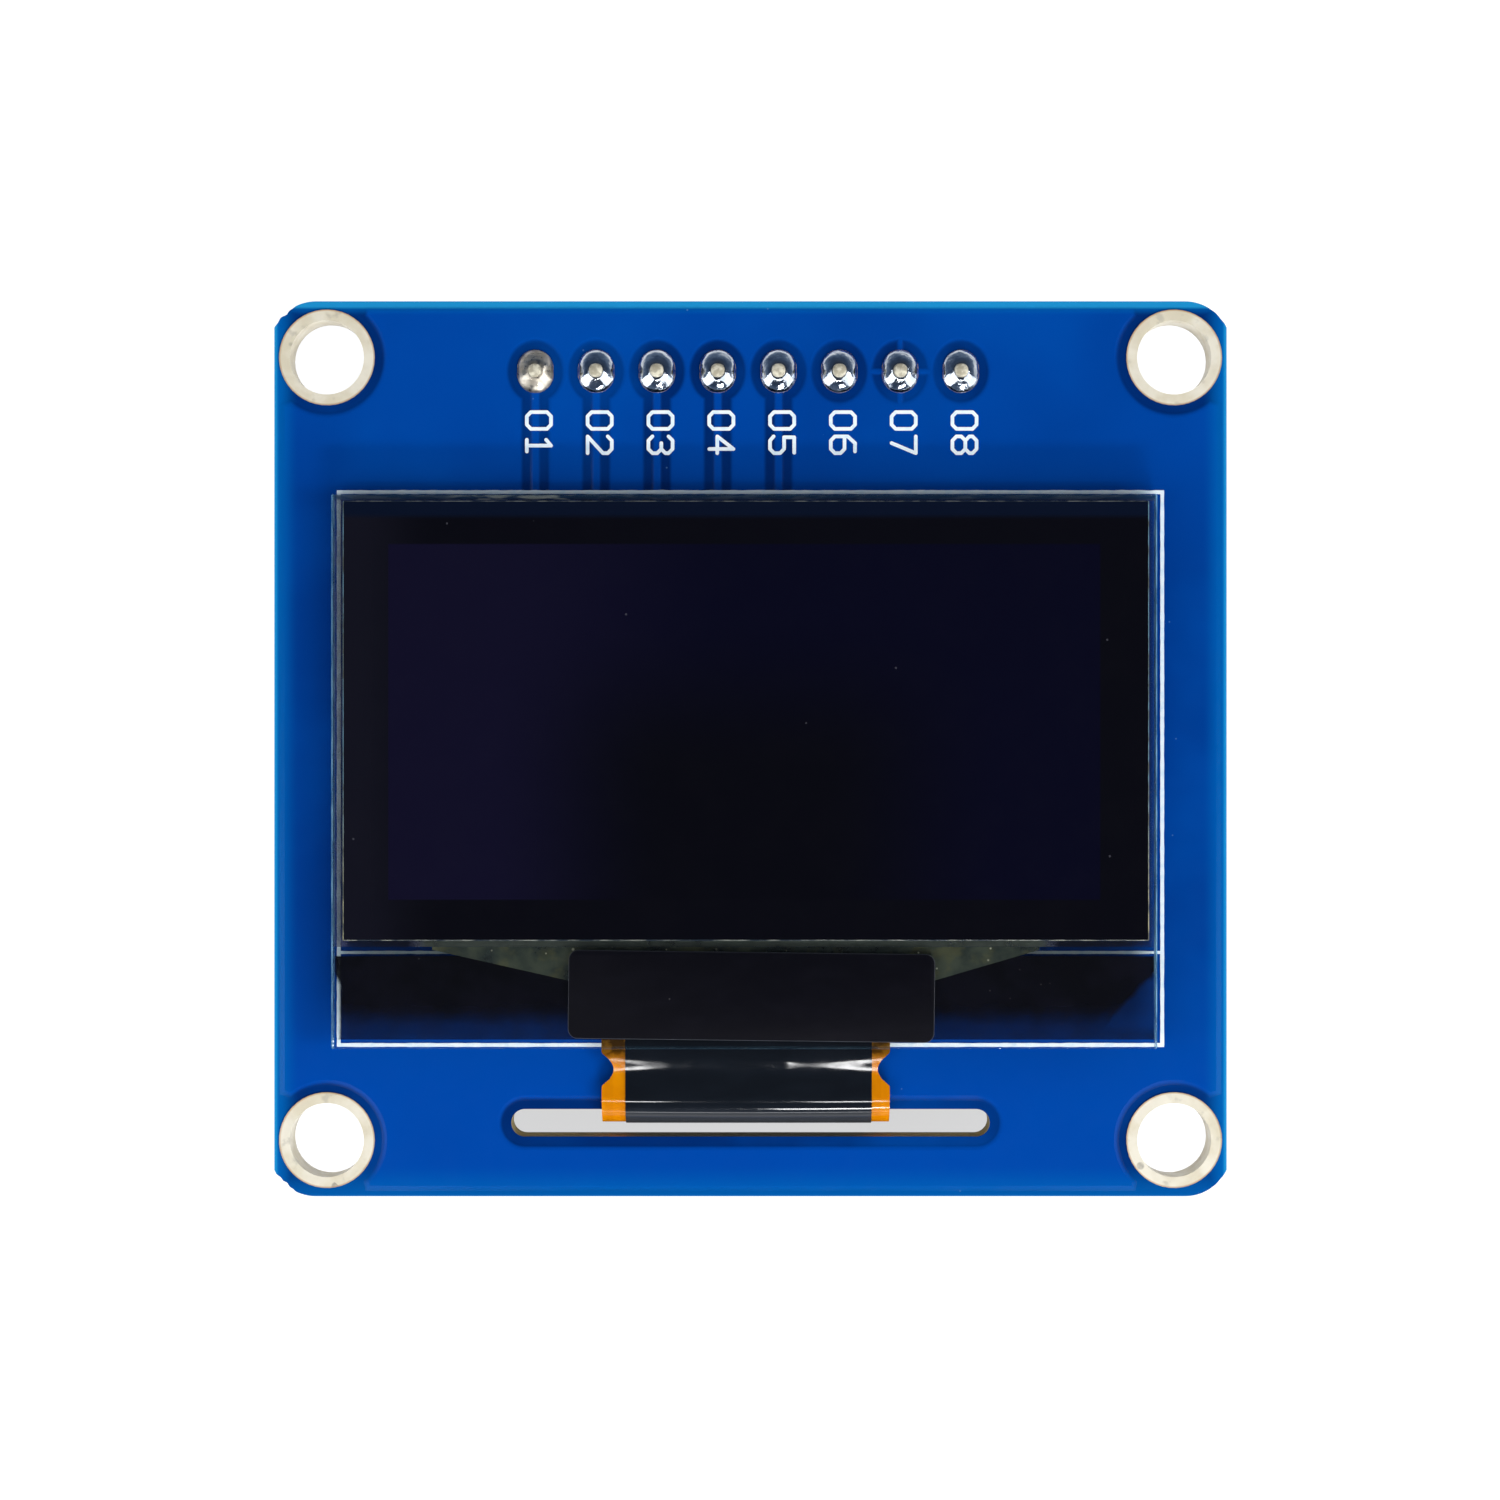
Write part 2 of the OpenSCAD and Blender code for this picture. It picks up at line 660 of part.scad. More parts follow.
// Soldered contacts: each lies on the tail's end and runs down to the board
module flex_solder() {
    lap = tail_end * 0.6;
    toe = 0.5;
    rise = 0.12;
    color([0.78, 0.78, 0.76]) for (i = [1:contact_count])
        translate([neck_x + (i - (contact_count + 1) / 2) * contact_pitch, 0, 0]) pull_along_x(contact_w)
            polygon([
                [tail_tip, 0], [tail_tip + toe, 0], [tail_tip, -film_t - rise],
                [tail_tip - lap, -film_t - rise / 2], [tail_tip - lap, -film_t], [tail_tip, -film_t]
            ]);
}

// Ceramic body of a chip part of height h, standing on Z = 0
module chip_body(h) {
    t = terminal_t;
    block(0, 0, chip_part_l - 2 * t, chip_part_w - 2 * t, t, h - 2 * t);
}

// Metal ends of a chip part of height h
module chip_ends(h) {
    difference() {
        for (side = [-1, 1]) block(side * (chip_part_l - terminal_l) / 2, 0, terminal_l, chip_part_w, 0, h);
        chip_body(h);
    }
}

// Solder in front of both metal ends of a chip part of height h
module chip_fillets(h) {
    for (side = [0, 1]) mirror([side, 0, 0]) translate([chip_part_l / 2, 0, 0]) rotate([90, 0, 0])
        linear_extrude(chip_part_w, center = true) polygon([[0, 0], [fillet_l, 0], [0, h * 0.7]]);
}

// Puts capacitor i in the first row or beside the regulator
module at_capacitor(i) {
    beside = regulator_l / 2 + 2.2;
    if (i <= row_capacitors)
        on_rear((i - (row_capacitors + 1) / 2) * chip_part_pitch, capacitor_y, 90) children();
    else
        on_rear((i == row_capacitors + 1 ? -1 : 1) * beside, regulator_y, 90) children();
}

module at_resistor(i) {
    on_rear((i - (resistor_count + 1) / 2) * chip_part_pitch, resistor_y, 90) children();
}

module capacitor(i) {
    color([0.62, 0.5, 0.36]) at_capacitor(i) chip_body(capacitor_h);
}

module resistor(i) {
    color([0.08, 0.08, 0.09]) at_resistor(i) chip_body(resistor_h);
}

module chip_terminals() {
    color([0.8, 0.8, 0.8]) {
        for (i = [1:capacitor_count]) at_capacitor(i) chip_ends(capacitor_h);
        for (i = [1:resistor_count]) at_resistor(i) chip_ends(resistor_h);
    }
}

module chip_solder() {
    color([0.75, 0.75, 0.74]) {
        for (i = [1:capacitor_count]) at_capacitor(i) chip_fillets(capacitor_h);
        for (i = [1:resistor_count]) at_resistor(i) chip_fillets(resistor_h);
    }
}

// Moulded body with drafted long sides and a dimple that marks its first lead
module regulator_body() {
    a = regulator_w / 2;
    draft = 0.08;
    base = 0.1; // gap between the body and the board
    middle = (regulator_h + base) / 2;
    color([0.07, 0.07, 0.08]) on_rear(0, regulator_y) difference() {
        pull_along_x(regulator_l) polygon([
            [a - draft, base], [a, middle - lead_t / 2], [a, middle + lead_t / 2], [a - draft, regulator_h],
            [draft - a, regulator_h], [-a, middle + lead_t / 2], [-a, middle - lead_t / 2], [draft - a, base]
        ]);
        translate([-regulator_l / 2 + 0.45, -a + 0.45, regulator_h - 0.06]) cylinder(h = 1, d = 0.35);
    }
}

// Side view of a bent lead that leaves the body at y = 0 and stands on Z = 0
module lead_profile() {
    middle = (regulator_h + 0.1) / 2;
    knee = lead_reach - foot_l;
    polygon([
        [0, middle + lead_t / 2], [knee, middle + lead_t / 2], [knee + lead_t, middle - lead_t / 2],
        [knee + lead_t, lead_t], [lead_reach, lead_t], [lead_reach, 0], [knee, 0],
        [knee, middle - lead_t / 2], [0, middle - lead_t / 2]
    ]);
}

module regulator_leads() {
    color([0.8, 0.8, 0.8]) on_rear(0, regulator_y) {
        translate([0, regulator_w / 2, 0]) pull_along_x(lead_w) lead_profile();
        for (side = [-1, 1]) translate([side * lead_pitch / 2, -regulator_w / 2, 0])
            mirror([0, 1, 0]) pull_along_x(lead_w) lead_profile();
    }
}

pcb();
for (i = [1:mount_count]) mounting_pad(i);
header_pads();
header_housing();
for (i = [1:pin_count]) header_pin(i);
for (i = [1:pin_count]) solder_joint(i);
panel_tape();
cap_glass();
moisture_getter();
edge_seal();
pixel_layers();
front_glass();
polarizer();
driver_chip();
edge_resin();
ledge_resin();
shield();
bond_strip();
flex_film();
flex_cover();
flex_solder();
regulator_body();
regulator_leads();
for (i = [1:capacitor_count]) capacitor(i);
for (i = [1:resistor_count]) resistor(i);
chip_terminals();
chip_solder();
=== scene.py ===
"""Looks of the small OLED display module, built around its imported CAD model.

Sizes are millimetres of the row frame until a mesh is made: +Z leaves the display, +Y points to the pin
header, and the board's rear face lies at Z = 0.
"""
import math
import random

import bmesh
import bpy
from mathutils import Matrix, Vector, noise


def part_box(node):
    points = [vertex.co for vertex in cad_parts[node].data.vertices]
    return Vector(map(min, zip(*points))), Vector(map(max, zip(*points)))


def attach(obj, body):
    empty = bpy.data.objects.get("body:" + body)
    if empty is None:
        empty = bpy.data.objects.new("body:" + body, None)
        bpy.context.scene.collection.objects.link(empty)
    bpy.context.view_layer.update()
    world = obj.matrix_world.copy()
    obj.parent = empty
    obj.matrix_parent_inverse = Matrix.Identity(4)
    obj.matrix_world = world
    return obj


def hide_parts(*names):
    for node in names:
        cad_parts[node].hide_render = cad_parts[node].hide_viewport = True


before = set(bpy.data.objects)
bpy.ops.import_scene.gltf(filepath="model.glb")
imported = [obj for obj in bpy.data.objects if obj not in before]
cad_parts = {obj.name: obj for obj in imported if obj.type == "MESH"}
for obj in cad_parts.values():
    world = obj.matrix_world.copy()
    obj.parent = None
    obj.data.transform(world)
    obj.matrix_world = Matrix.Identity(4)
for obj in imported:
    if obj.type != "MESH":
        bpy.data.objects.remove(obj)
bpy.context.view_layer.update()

MM = 0.001
random.seed(7)


def box(node):
    """Lowest and highest corner of a CAD node, in millimetres."""
    low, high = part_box(node)
    return low / MM, high / MM


def middle(node):
    low, high = box(node)
    return (low + high) / 2


# ---------------------------------------------------------------- sizes taken from the CAD model

BOARD_HIGH = box("pcb")[1]
BOARD_T = BOARD_HIGH.z
HOLES = [middle(f"mounting_pad_{i}") for i in range(1, 5)]
HOLE_X, HOLE_Y = abs(HOLES[0].x), abs(HOLES[0].y)
RING_R = (box("mounting_pad_1")[1].x - box("mounting_pad_1")[0].x) / 2
PINS = [middle(f"header_pin_{i}") for i in range(1, 9)]
PIN_LOW, PIN_HIGH = box("header_pin_1")
GLASS_LOW, GLASS_HIGH = box("front_glass")
CAP_LOW, CAP_HIGH = box("cap_glass")
PICTURE_LOW, PICTURE_HIGH = box("pixel_layers")

# The same numbers as in the CAD source:
HOLE_R = 1.55
PLATING = 0.05
PIN_DRILL_R = 0.5525
SLOT_L, SLOT_W = 20.0, 1.15
SLOT_Y = GLASS_LOW.y - 3.19
NECK_X = -0.2
NECK_W = 12.0

POUR_T = 0.03  # thickness of the copper under the mask
INK_T = 0.02


def rgb(red, green, blue):
    """Linear colour of a display colour given in 0 to 255."""
    return tuple(
        (c / 255 / 12.92 if c <= 10 else ((c / 255 + 0.055) / 1.055) ** 2.4) for c in (red, green, blue)
    )


# ---------------------------------------------------------------- finishes


EVEN = (1, 1, 1)  # a texture that isn't stretched


class Finish:
    """A node material whose textures lie in millimetres of the row frame."""

    def __init__(self, name):
        self.material = bpy.data.materials.new(name)
        self.material.use_nodes = True
        self.tree = self.material.node_tree
        self.tree.nodes.clear()
        place = self.node("ShaderNodeTexCoord").outputs["Object"]
        self.place = self.vector("MULTIPLY", place, (1 / MM,) * 3)
        self.x, self.y, self.z = self.split(self.place)
        geometry = self.node("ShaderNodeNewGeometry")
        self.normal_x, _, self.normal_z = self.split(geometry.outputs["True Normal"])

    def node(self, kind, settings=None, **inputs):
        made = self.tree.nodes.new(kind)
        for key, value in (settings or {}).items():
            setattr(made, key, value)
        for key, value in inputs.items():
            self.feed(made.inputs[key.replace("_", " ")], value)
        return made

    def feed(self, socket, value):
        if isinstance(value, bpy.types.NodeSocket):
            self.tree.links.new(value, socket)
        elif socket.type == "RGBA":
            socket.default_value = (*value[:3], 1)
        else:
            socket.default_value = value

    def split(self, vector):
        return self.node("ShaderNodeSeparateXYZ", Vector=vector).outputs

    def vector(self, operation, a, b):
        made = self.node("ShaderNodeVectorMath", {"operation": operation})
        self.feed(made.inputs[0], a)
        self.feed(made.inputs[1], b)
        return made.outputs[0]

    def maths(self, operation, *values):
        made = self.node("ShaderNodeMath", {"operation": operation})
        for socket, value in zip(made.inputs, values):
            self.feed(socket, value)
        return made.outputs[0]

    def size(self, value):
        return self.maths("ABSOLUTE", value)

    def times(self, *values):
        result = values[0]
        for value in values[1:]:
            result = self.maths("MULTIPLY", result, value)
        return result

    def most(self, *values):
        result = values[0]
        for value in values[1:]:
            result = self.maths("MAXIMUM", result, value)
        return result

    def step(self, value, low, high, first=0.0, last=1.0):
        """Goes smoothly from first to last as value goes from low to high."""
        made = self.node("ShaderNodeMapRange", {"interpolation_type": "SMOOTHSTEP"})
        for socket, number in zip(made.inputs, (value, low, high, first, last)):
            self.feed(socket, number)
        return made.outputs[0]

    def noise(self, scale, detail, stretch=EVEN, shift=0):
        place = self.vector("MULTIPLY", self.place, stretch)
        place = self.vector("ADD", place, (shift, 1.7 * shift, 0.6 * shift))
        return self.node("ShaderNodeTexNoise", Vector=place, Scale=scale, Detail=detail).outputs["Fac"]

    def specks(self, scale, size, share, stretch=EVEN):
        """Small round spots: 1 in a spot, 0 outside. share is how many of the cells have one."""
        place = self.vector("MULTIPLY", self.place, stretch)
        cells = self.node("ShaderNodeTexVoronoi", Vector=place, Scale=scale)
        spot = self.step(cells.outputs["Distance"], size * 0.6, size, 1.0, 0.0)
        chosen = self.step(self.split(cells.outputs["Color"])[0], 1 - share - 0.01, 1 - share + 0.01)
        return self.times(spot, chosen)

    def uneven(self, low, high, *texture, **shift):
        """A value that a noise leads from low to high."""
        return self.step(self.noise(*texture, **shift), 0.3, 0.7, low, high)

    def mix(self, factor, a, b):
        made = self.node("ShaderNodeMix", {"data_type": "RGBA"})
        for index, value in ((0, factor), (6, a), (7, b)):
            self.feed(made.inputs[index], value)
        return made.outputs[2]

    def tones(self, texture, dark, light, low=0.35, high=0.65):
        """Two display colours, blended as the texture goes from low to high."""
        return self.mix(self.step(texture, low, high), rgb(*dark), rgb(*light))

    def bump(self, height, depth):
        """A bump of that depth in millimetres."""
        return self.node("ShaderNodeBump", Height=height, Distance=depth * MM, Strength=1.0).outputs[0]

    def surface(self, colour, roughness, bump=None, **inputs):
        made = self.node("ShaderNodeBsdfPrincipled", Base_Color=colour, Roughness=roughness)
        for key, value in inputs.items():
            self.feed(made.inputs[key.replace("_", " ")], value)
        if bump is not None:
            self.feed(made.inputs["Normal"], bump)
        return made.outputs[0]

    def join(self, factor, a, b):
        made = self.node("ShaderNodeMixShader")
        for socket, value in zip(made.inputs, (factor, a, b)):
            self.feed(socket, value)
        return made.outputs[0]

    def clear(self, tint):
        return self.node("ShaderNodeBsdfTransparent", Color=tint).outputs[0]

    def done(self, shader):
        self.feed(self.node("ShaderNodeOutputMaterial").inputs["Surface"], shader)
        return self.material

    def solid(self, colour, roughness, relief, depth, **inputs):
        """The finished material of an opaque surface with that relief."""
        return self.done(self.surface(colour, roughness, self.bump(relief, depth), **inputs))


def clouded(name, dark, light, cloud, rough, relief=None, depth=0.01, span=(0.35, 0.65), **inputs):
    """Two tones in soft clouds. cloud and relief are noises, and the clouds are the relief where none is
    given. rough is a number, or what uneven needs."""
    f = Finish(name)
    tone = f.noise(*cloud)
    if isinstance(rough, tuple):
        rough = f.uneven(*rough)
    colour = f.tones(tone, dark, light, *span)
    return f.solid(colour, rough, f.noise(*relief) if relief else tone, depth, **inputs)


def from_middle(f):
    """Distance from the plane halfway through the board."""
    return f.size(f.maths("SUBTRACT", f.z, BOARD_T / 2))


def solder_mask():
    """Blue mask: brighter over copper, which is known by its height, and light at the board's edges."""
    f = Finish("solder_mask")
    copper = f.step(from_middle(f), BOARD_T / 2 + 0.003, BOARD_T / 2 + POUR_T - 0.003)
    ends = f.size(f.y)
    over_laminate = f.tones(ends, (0, 37, 98), (0, 40, 104), 6.0, 15.5)
    over_copper = f.tones(ends, (0, 58, 139), (0, 68, 158), 6.0, 15.5)
    colour = f.mix(copper, over_laminate, over_copper)
    colour = f.mix(f.step(f.noise(0.16, 3), 0.4, 0.75, 0.0, 0.45), colour, rgb(0, 78, 168))
    colour = f.mix(f.step(f.noise(0.1, 2, shift=9), 0.45, 0.8, 0.0, 0.4), colour, rgb(0, 50, 126))
    colour = f.mix(f.times(f.step(f.y, -11.0, -15.0, 0.0, 0.6), copper), colour, rgb(0, 68, 162))
    side = f.step(f.size(f.x), 18.85, 19.85)
    lower = f.step(f.y, -17.3, -18.7, 0.0, 0.75)
    upper = f.step(f.y, 18.1, 18.35, 0.0, 0.5)
    rim = f.most(f.step(f.size(f.x), 19.7, 19.88), f.step(f.y, 18.34, 18.5), f.step(f.y, -18.6, -18.8))
    colour = f.mix(f.most(side, lower, upper), colour, rgb(0, 94, 172))
    colour = f.mix(f.times(rim, 0.6), colour, rgb(40, 168, 224))
    colour = f.mix(f.times(f.specks(0.9, 0.045, 0.4), 0.25), colour, rgb(110, 160, 210))
    rough = f.uneven(0.14, 0.2, 1.2, 3, shift=4)
    return f.solid(colour, rough, f.noise(9, 3), 0.002, Specular_IOR_Level=0.1)


def laminate():
    """Cut edge of the laminate: layers of glass cloth between two skins of blue mask."""
    f = Finish("laminate_edge")
    fibres = f.noise(7, 3, (1, 1, 2.5), 3)
    colour = f.tones(f.noise(1.0, 2, (0.05, 0.05, 9)), (166, 150, 104), (190, 176, 132))
    colour = f.mix(f.step(fibres, 0.5, 0.8, 0, 0.35), colour, rgb(208, 198, 160))
    skin = f.step(from_middle(f), BOARD_T / 2 - 0.07, BOARD_T / 2 - 0.03)
    return f.solid(f.mix(skin, colour, rgb(4, 70, 130)), 0.75, fibres, 0.015, Specular_IOR_Level=0.25)


def tinned(name, ring):
    """Pale tinned copper. On the rings a warm rim is known by its distance from the hole's middle."""
    f = Finish(name)
    colour = f.tones(f.noise(0.9, 3), (222, 212, 186), (236, 229, 210))
    stain = f.noise(1.6, 5, (1, 1, 0.4), 5)
    colour = f.mix(f.step(stain, 0.58, 0.72, 0, 0.4), colour, rgb(160, 154, 138))
    fleck = f.times(f.specks(1.1, 0.22, 0.16, (1, 1, 0.4)), f.noise(4.0, 3))
    colour = f.mix(f.times(fleck, 0.9), colour, rgb(96, 92, 84))
    if ring:
        from_x = f.maths("SUBTRACT", f.size(f.x), HOLE_X)
        from_y = f.maths("SUBTRACT", f.size(f.y), HOLE_Y)
        radius = f.maths("SQRT", f.maths("ADD", f.times(from_x, from_x), f.times(from_y, from_y)))
        colour = f.mix(f.step(radius, RING_R - 0.09, RING_R - 0.01, 0, 0.7), colour, rgb(176, 132, 84))
    rough = f.uneven(0.34, 0.5, 3, 3, shift=2)
    return f.solid(colour, rough, f.noise(5, 3), 0.008, Metallic=0.12)


def bright_solder(name):
    f = Finish(name)
    flow = f.noise(*SOLDER_FLOW)
    rough = f.step(f.noise(4, 3, shift=3), 0.4, 0.75, 0.06, 0.2)
    return f.solid(f.tones(flow, (182, 191, 204), (212, 219, 228)), rough, flow, 0.03, Metallic=1.0)


def pin_metal():
    """Gold-plated pin whose upper end is tinned by the solder and cut flat."""
    f = Finish("pin_metal")
    tin = f.step(f.z, BOARD_T, BOARD_T + 0.4)
    gold = f.tones(f.noise(1.5, 3), (222, 182, 102), (234, 200, 126), 0.3, 0.7)
    pale = f.tones(f.noise(5, 3), (176, 168, 146), (222, 216, 194), 0.4, 0.62)
    rough = f.uneven(0.2, 0.34, 6, 3, (1, 1, 0.2))
    rough = f.maths("ADD", rough, f.times(tin, 0.3))
    return f.solid(f.mix(tin, gold, pale), rough, f.noise(8, 3), 0.003, Metallic=f.step(tin, 0, 1, 1.0, 0.15))


def glass():
    """Thin clear glass. Its cut edges are frosted, most at the sides, and so catch the light. Their light
    blue colour is a painted glint, tinted by the board's blue.
    """
    f = Finish("panel_glass")
    mirror = f.node("ShaderNodeFresnel", IOR=1.45).outputs[0]
    film = f.join(mirror, f.clear((0.975, 0.985, 0.988)), f.surface(rgb(255, 255, 255), 0.03, Metallic=1.0))
    chips = f.noise(1.4, 3, (0.5, 0.5, 2.5))
    # painted glint: the frosted edges are painted light blue, with the board's blue in their sheen
    colour = f.tones(chips, (64, 132, 176), (142, 202, 232), high=0.75)
    side = f.step(f.size(f.normal_x), 0.3, 0.6)
    share = f.times(f.step(chips, 0.25, 0.75, 0.5, 0.78), f.step(side, 0, 1, 0.07, 1.0))
    veil = f.join(share, f.clear((0.9, 0.95, 0.97)), f.surface(colour, 0.4, f.bump(chips, 0.03)))
    return f.done(f.join(f.step(f.size(f.normal_z), 0.95, 0.6), film, veil))


def seal_resin():
    """Clear sealing frame: milky on the left, teal on top with pale painted glints, grey-green at the bottom.
    """
    f = Finish("sealing_frame")
    mottle = f.noise(1.4, 4, (1, 0.6, 1))
    below = f.step(f.y, CAP_LOW.y + 0.8, CAP_LOW.y + 0.5)
    pale = f.times(below, f.step(f.size(f.maths("ADD", f.x, 0.7)), 13.7, 12.7))
    left = f.step(f.x, -16.4, -16.9)
    top = f.step(f.y, CAP_HIGH.y - 0.32, CAP_HIGH.y - 0.14)
    # painted glints: pale flecks along the top edge, strongest within 2.2 mm of x = -9.4 and faint elsewhere
    painted_glint = f.step(f.noise(0.7, 4, (1, 6, 1), 3), 0.46, 0.62)
    painted_glint = f.times(painted_glint, f.step(f.size(f.maths("ADD", f.x, 9.4)), 3.4, 2.2, 0.12, 1.0))
    colour = f.mix(pale, rgb(120, 122, 168), rgb(74, 84, 74))
    colour = f.mix(top, colour, f.mix(painted_glint, rgb(8, 74, 122), rgb(226, 228, 214)))
    share = f.most(
        f.times(pale, f.step(mottle, 0.3, 0.6, 0.7, 0.92)),
        f.times(left, f.step(mottle, 0.35, 0.65, 0.12, 0.42)),
        f.times(top, 0.85),
        0.05,
    )
    share = f.times(share, f.step(f.z, GLASS_LOW.z - 0.03, GLASS_LOW.z - 0.02))
    return f.done(f.join(share, f.clear(FAINT), f.surface(colour, 0.5, f.bump(mottle, 0.02))))


def polarizer():
    """Near-black film. The picture area shows through it, faintly violet, and its cut edge is tan. A painted
    sheen makes it lighter towards the left and darker low in the middle.
    """
    f = Finish("polarizer")
    centre = (PICTURE_LOW + PICTURE_HIGH) / 2
    half = (PICTURE_HIGH - PICTURE_LOW) / 2
    from_x = f.size(f.maths("SUBTRACT", f.x, centre.x))
    from_y = f.size(f.maths("SUBTRACT", f.y, centre.y))
    in_x = f.step(from_x, half.x + 0.04, half.x - 0.04)
    picture = f.times(in_x, f.step(from_y, half.y + 0.04, half.y - 0.04))
    # painted sheen: the picture area and its border are painted lighter towards the left, and darker in the
    # lower middle
    inside = f.tones(f.x, (7, 7, 25), (15, 13, 34), 0.0, -11.0)
    painted_dark_middle = f.times(f.step(f.y, 6.0, -1.0), f.step(from_x, 11.0, 3.0))
    inside = f.mix(painted_dark_middle, inside, rgb(7, 7, 14))
    border = f.tones(f.x, (8, 8, 15), (17, 17, 27), -13.0, -16.5)
    band = f.step(f.y, PICTURE_HIGH.y + 1.0, PICTURE_HIGH.y + 1.3)
    colour = f.mix(picture, f.mix(band, border, rgb(8, 16, 34)), inside)
    tan = f.tones(f.y, (186, 184, 146), (108, 150, 170), -7.0, -1.0)
    tan = f.mix(f.step(f.noise(2.0, 4), 0.35, 0.65), rgb(84, 92, 84), tan)
    dim = f.tones(f.noise(1.6, 4, shift=2), (34, 46, 58), (128, 132, 124), 0.4, 0.66)
    cut = f.step(f.size(f.normal_z), 0.95, 0.6)
    colour = f.mix(cut, colour, f.mix(f.step(f.size(f.normal_x), 0.3, 0.6), dim, tan))
    dust = f.times(f.specks(0.8, 0.05, 0.25), f.step(cut, 0, 1, 0.22, 0))
    colour = f.mix(dust, colour, rgb(120, 120, 130))
    rough = f.uneven(0.1, 0.15, 0.8, 3)
    return f.solid(colour, rough, f.noise(3, 2), 0.001, Specular_IOR_Level=0.25)


def pale_resin():
    """Grey-green resin with bubbles, which lets a little of the board show through."""
    f = Finish("pale_resin")
    cloud = f.noise(0.8, 4)
    warm = f.step(f.noise(1.3, 4, shift=6), 0.48, 0.66)
    colour = f.mix(f.times(warm, 0.45), f.tones(cloud, (48, 62, 58), (84, 94, 74)), rgb(118, 116, 66))
    bubble = f.most(f.specks(1.5, 0.13, 0.3), f.specks(4.0, 0.2, 0.1))
    colour = f.mix(bubble, colour, rgb(220, 218, 190))
    body = f.surface(colour, 0.35, f.bump(f.maths("ADD", cloud, bubble), 0.03))
    share = f.most(f.step(cloud, 0.3, 0.65, 0.75, 0.95), bubble)
    share = f.times(share, f.step(f.z, GLASS_LOW.z - 0.2, GLASS_LOW.z - 0.05))
    return f.done(f.join(share, f.clear((0.9, 0.95, 0.95)), body))


def dark_resin():
    """Painted shade below the cap glass: a black sheet that stands in for the shade under the ledge. It thins
    out to clear towards the lower edge and at both ends, where the shade fades.
    """
    f = Finish("dark_resin")
    ragged = f.step(f.noise(0.9, 4), 0.2, 0.8, -0.16, 0.16)
    above = f.step(f.y, CAP_LOW.y - 0.42, CAP_LOW.y - 0.34)
    low = f.step(f.maths("ADD", f.y, ragged), CAP_LOW.y - 2.3, CAP_LOW.y - 4.0, 0.0, 0.56)
    right = f.step(f.maths("ADD", f.maths("SUBTRACT", f.x, f.y), ragged), 25.9, 26.35)
    left = f.step(f.maths("ADD", f.x, f.times(f.step(f.y, -9.2, -9.9), -0.24)), -17.2, -17.4)
    # painted shade: how far the black sheet fades towards clear at its soft edges
    thin = f.most(above, low, f.times(right, 0.5), left)
    share = f.times(f.maths("SUBTRACT", 0.985, f.times(thin, 0.955)), f.step(f.z, 2.2, 2.3))
    colour = f.tones(f.noise(0.7, 3), (13, 11, 20), (20, 18, 30))
    colour = f.mix(f.times(f.specks(2.4, 0.09, 0.14), 0.4), colour, rgb(120, 116, 112))
    body = f.surface(colour, 0.3, f.bump(f.noise(2.0, 3), 0.02), Specular_IOR_Level=0.03)
    return f.done(f.join(share, f.clear(FAINT), body))


def black_film(name, base, gloss, edge, specular):
    """Glossy black film with faint scuffs and a light cut edge."""
    f = Finish(name)
    scuff = f.noise(1.1, 5, (0.6, 1.4, 1))
    colour = f.mix(f.step(scuff, 0.4, 0.7), base, tuple(1.2 * c for c in base))
    colour = f.mix(f.step(f.size(f.normal_z), 0.97, 0.7, 0, edge), colour, rgb(112, 116, 124))
    colour = f.mix(f.times(f.specks(1.2, 0.05, 0.2), 0.22), colour, rgb(130, 126, 126))
    rough = f.uneven(*gloss, 2.2, 4, shift=3)
    return f.solid(colour, rough, scuff, 0.002, Specular_IOR_Level=specular)


def polyimide():
    """Amber film. Copper tracks behind it make it uneven, and behind the glass it is painted darker, a
    painted shade from the glass over it.
    """
    f = Finish("polyimide")
    track = f.step(f.maths("PINGPONG", f.x, 0.31), 0.1, 0.2, 0, 0.25)
    colour = f.mix(track, rgb(204, 122, 0), rgb(178, 98, 0))
    colour = f.mix(f.step(f.noise(1.0, 3), 0.4, 0.7, 0, 0.5), colour, rgb(220, 140, 0))
    # painted shade: dark brown where the film lies behind the glass
    behind = f.times(f.step(f.y, GLASS_LOW.y - 0.8, GLASS_LOW.y - 0.1), f.step(f.z, 1.2, 1.6))
    colour = f.mix(behind, colour, f.tones(f.noise(2.4, 3), (62, 38, 5), (112, 74, 14), 0.42, 0.58))
    return f.solid(colour, 0.12, f.noise(2, 3), 0.004, Specular_IOR_Level=0.3)


def resistor_body():
    """White alumina with a black glaze on top."""
    f = Finish("resistor_body")
    glaze = f.step(f.z, -0.33, -0.37)
    white = f.tones(f.noise(4, 3), (206, 204, 196), (228, 226, 220))
    black = f.tones(f.noise(3, 3), (14, 14, 16), (24, 24, 27))
    return f.solid(f.mix(glaze, white, black), f.step(glaze, 0, 1, 0.6, 0.25), f.noise(9, 3), 0.008)


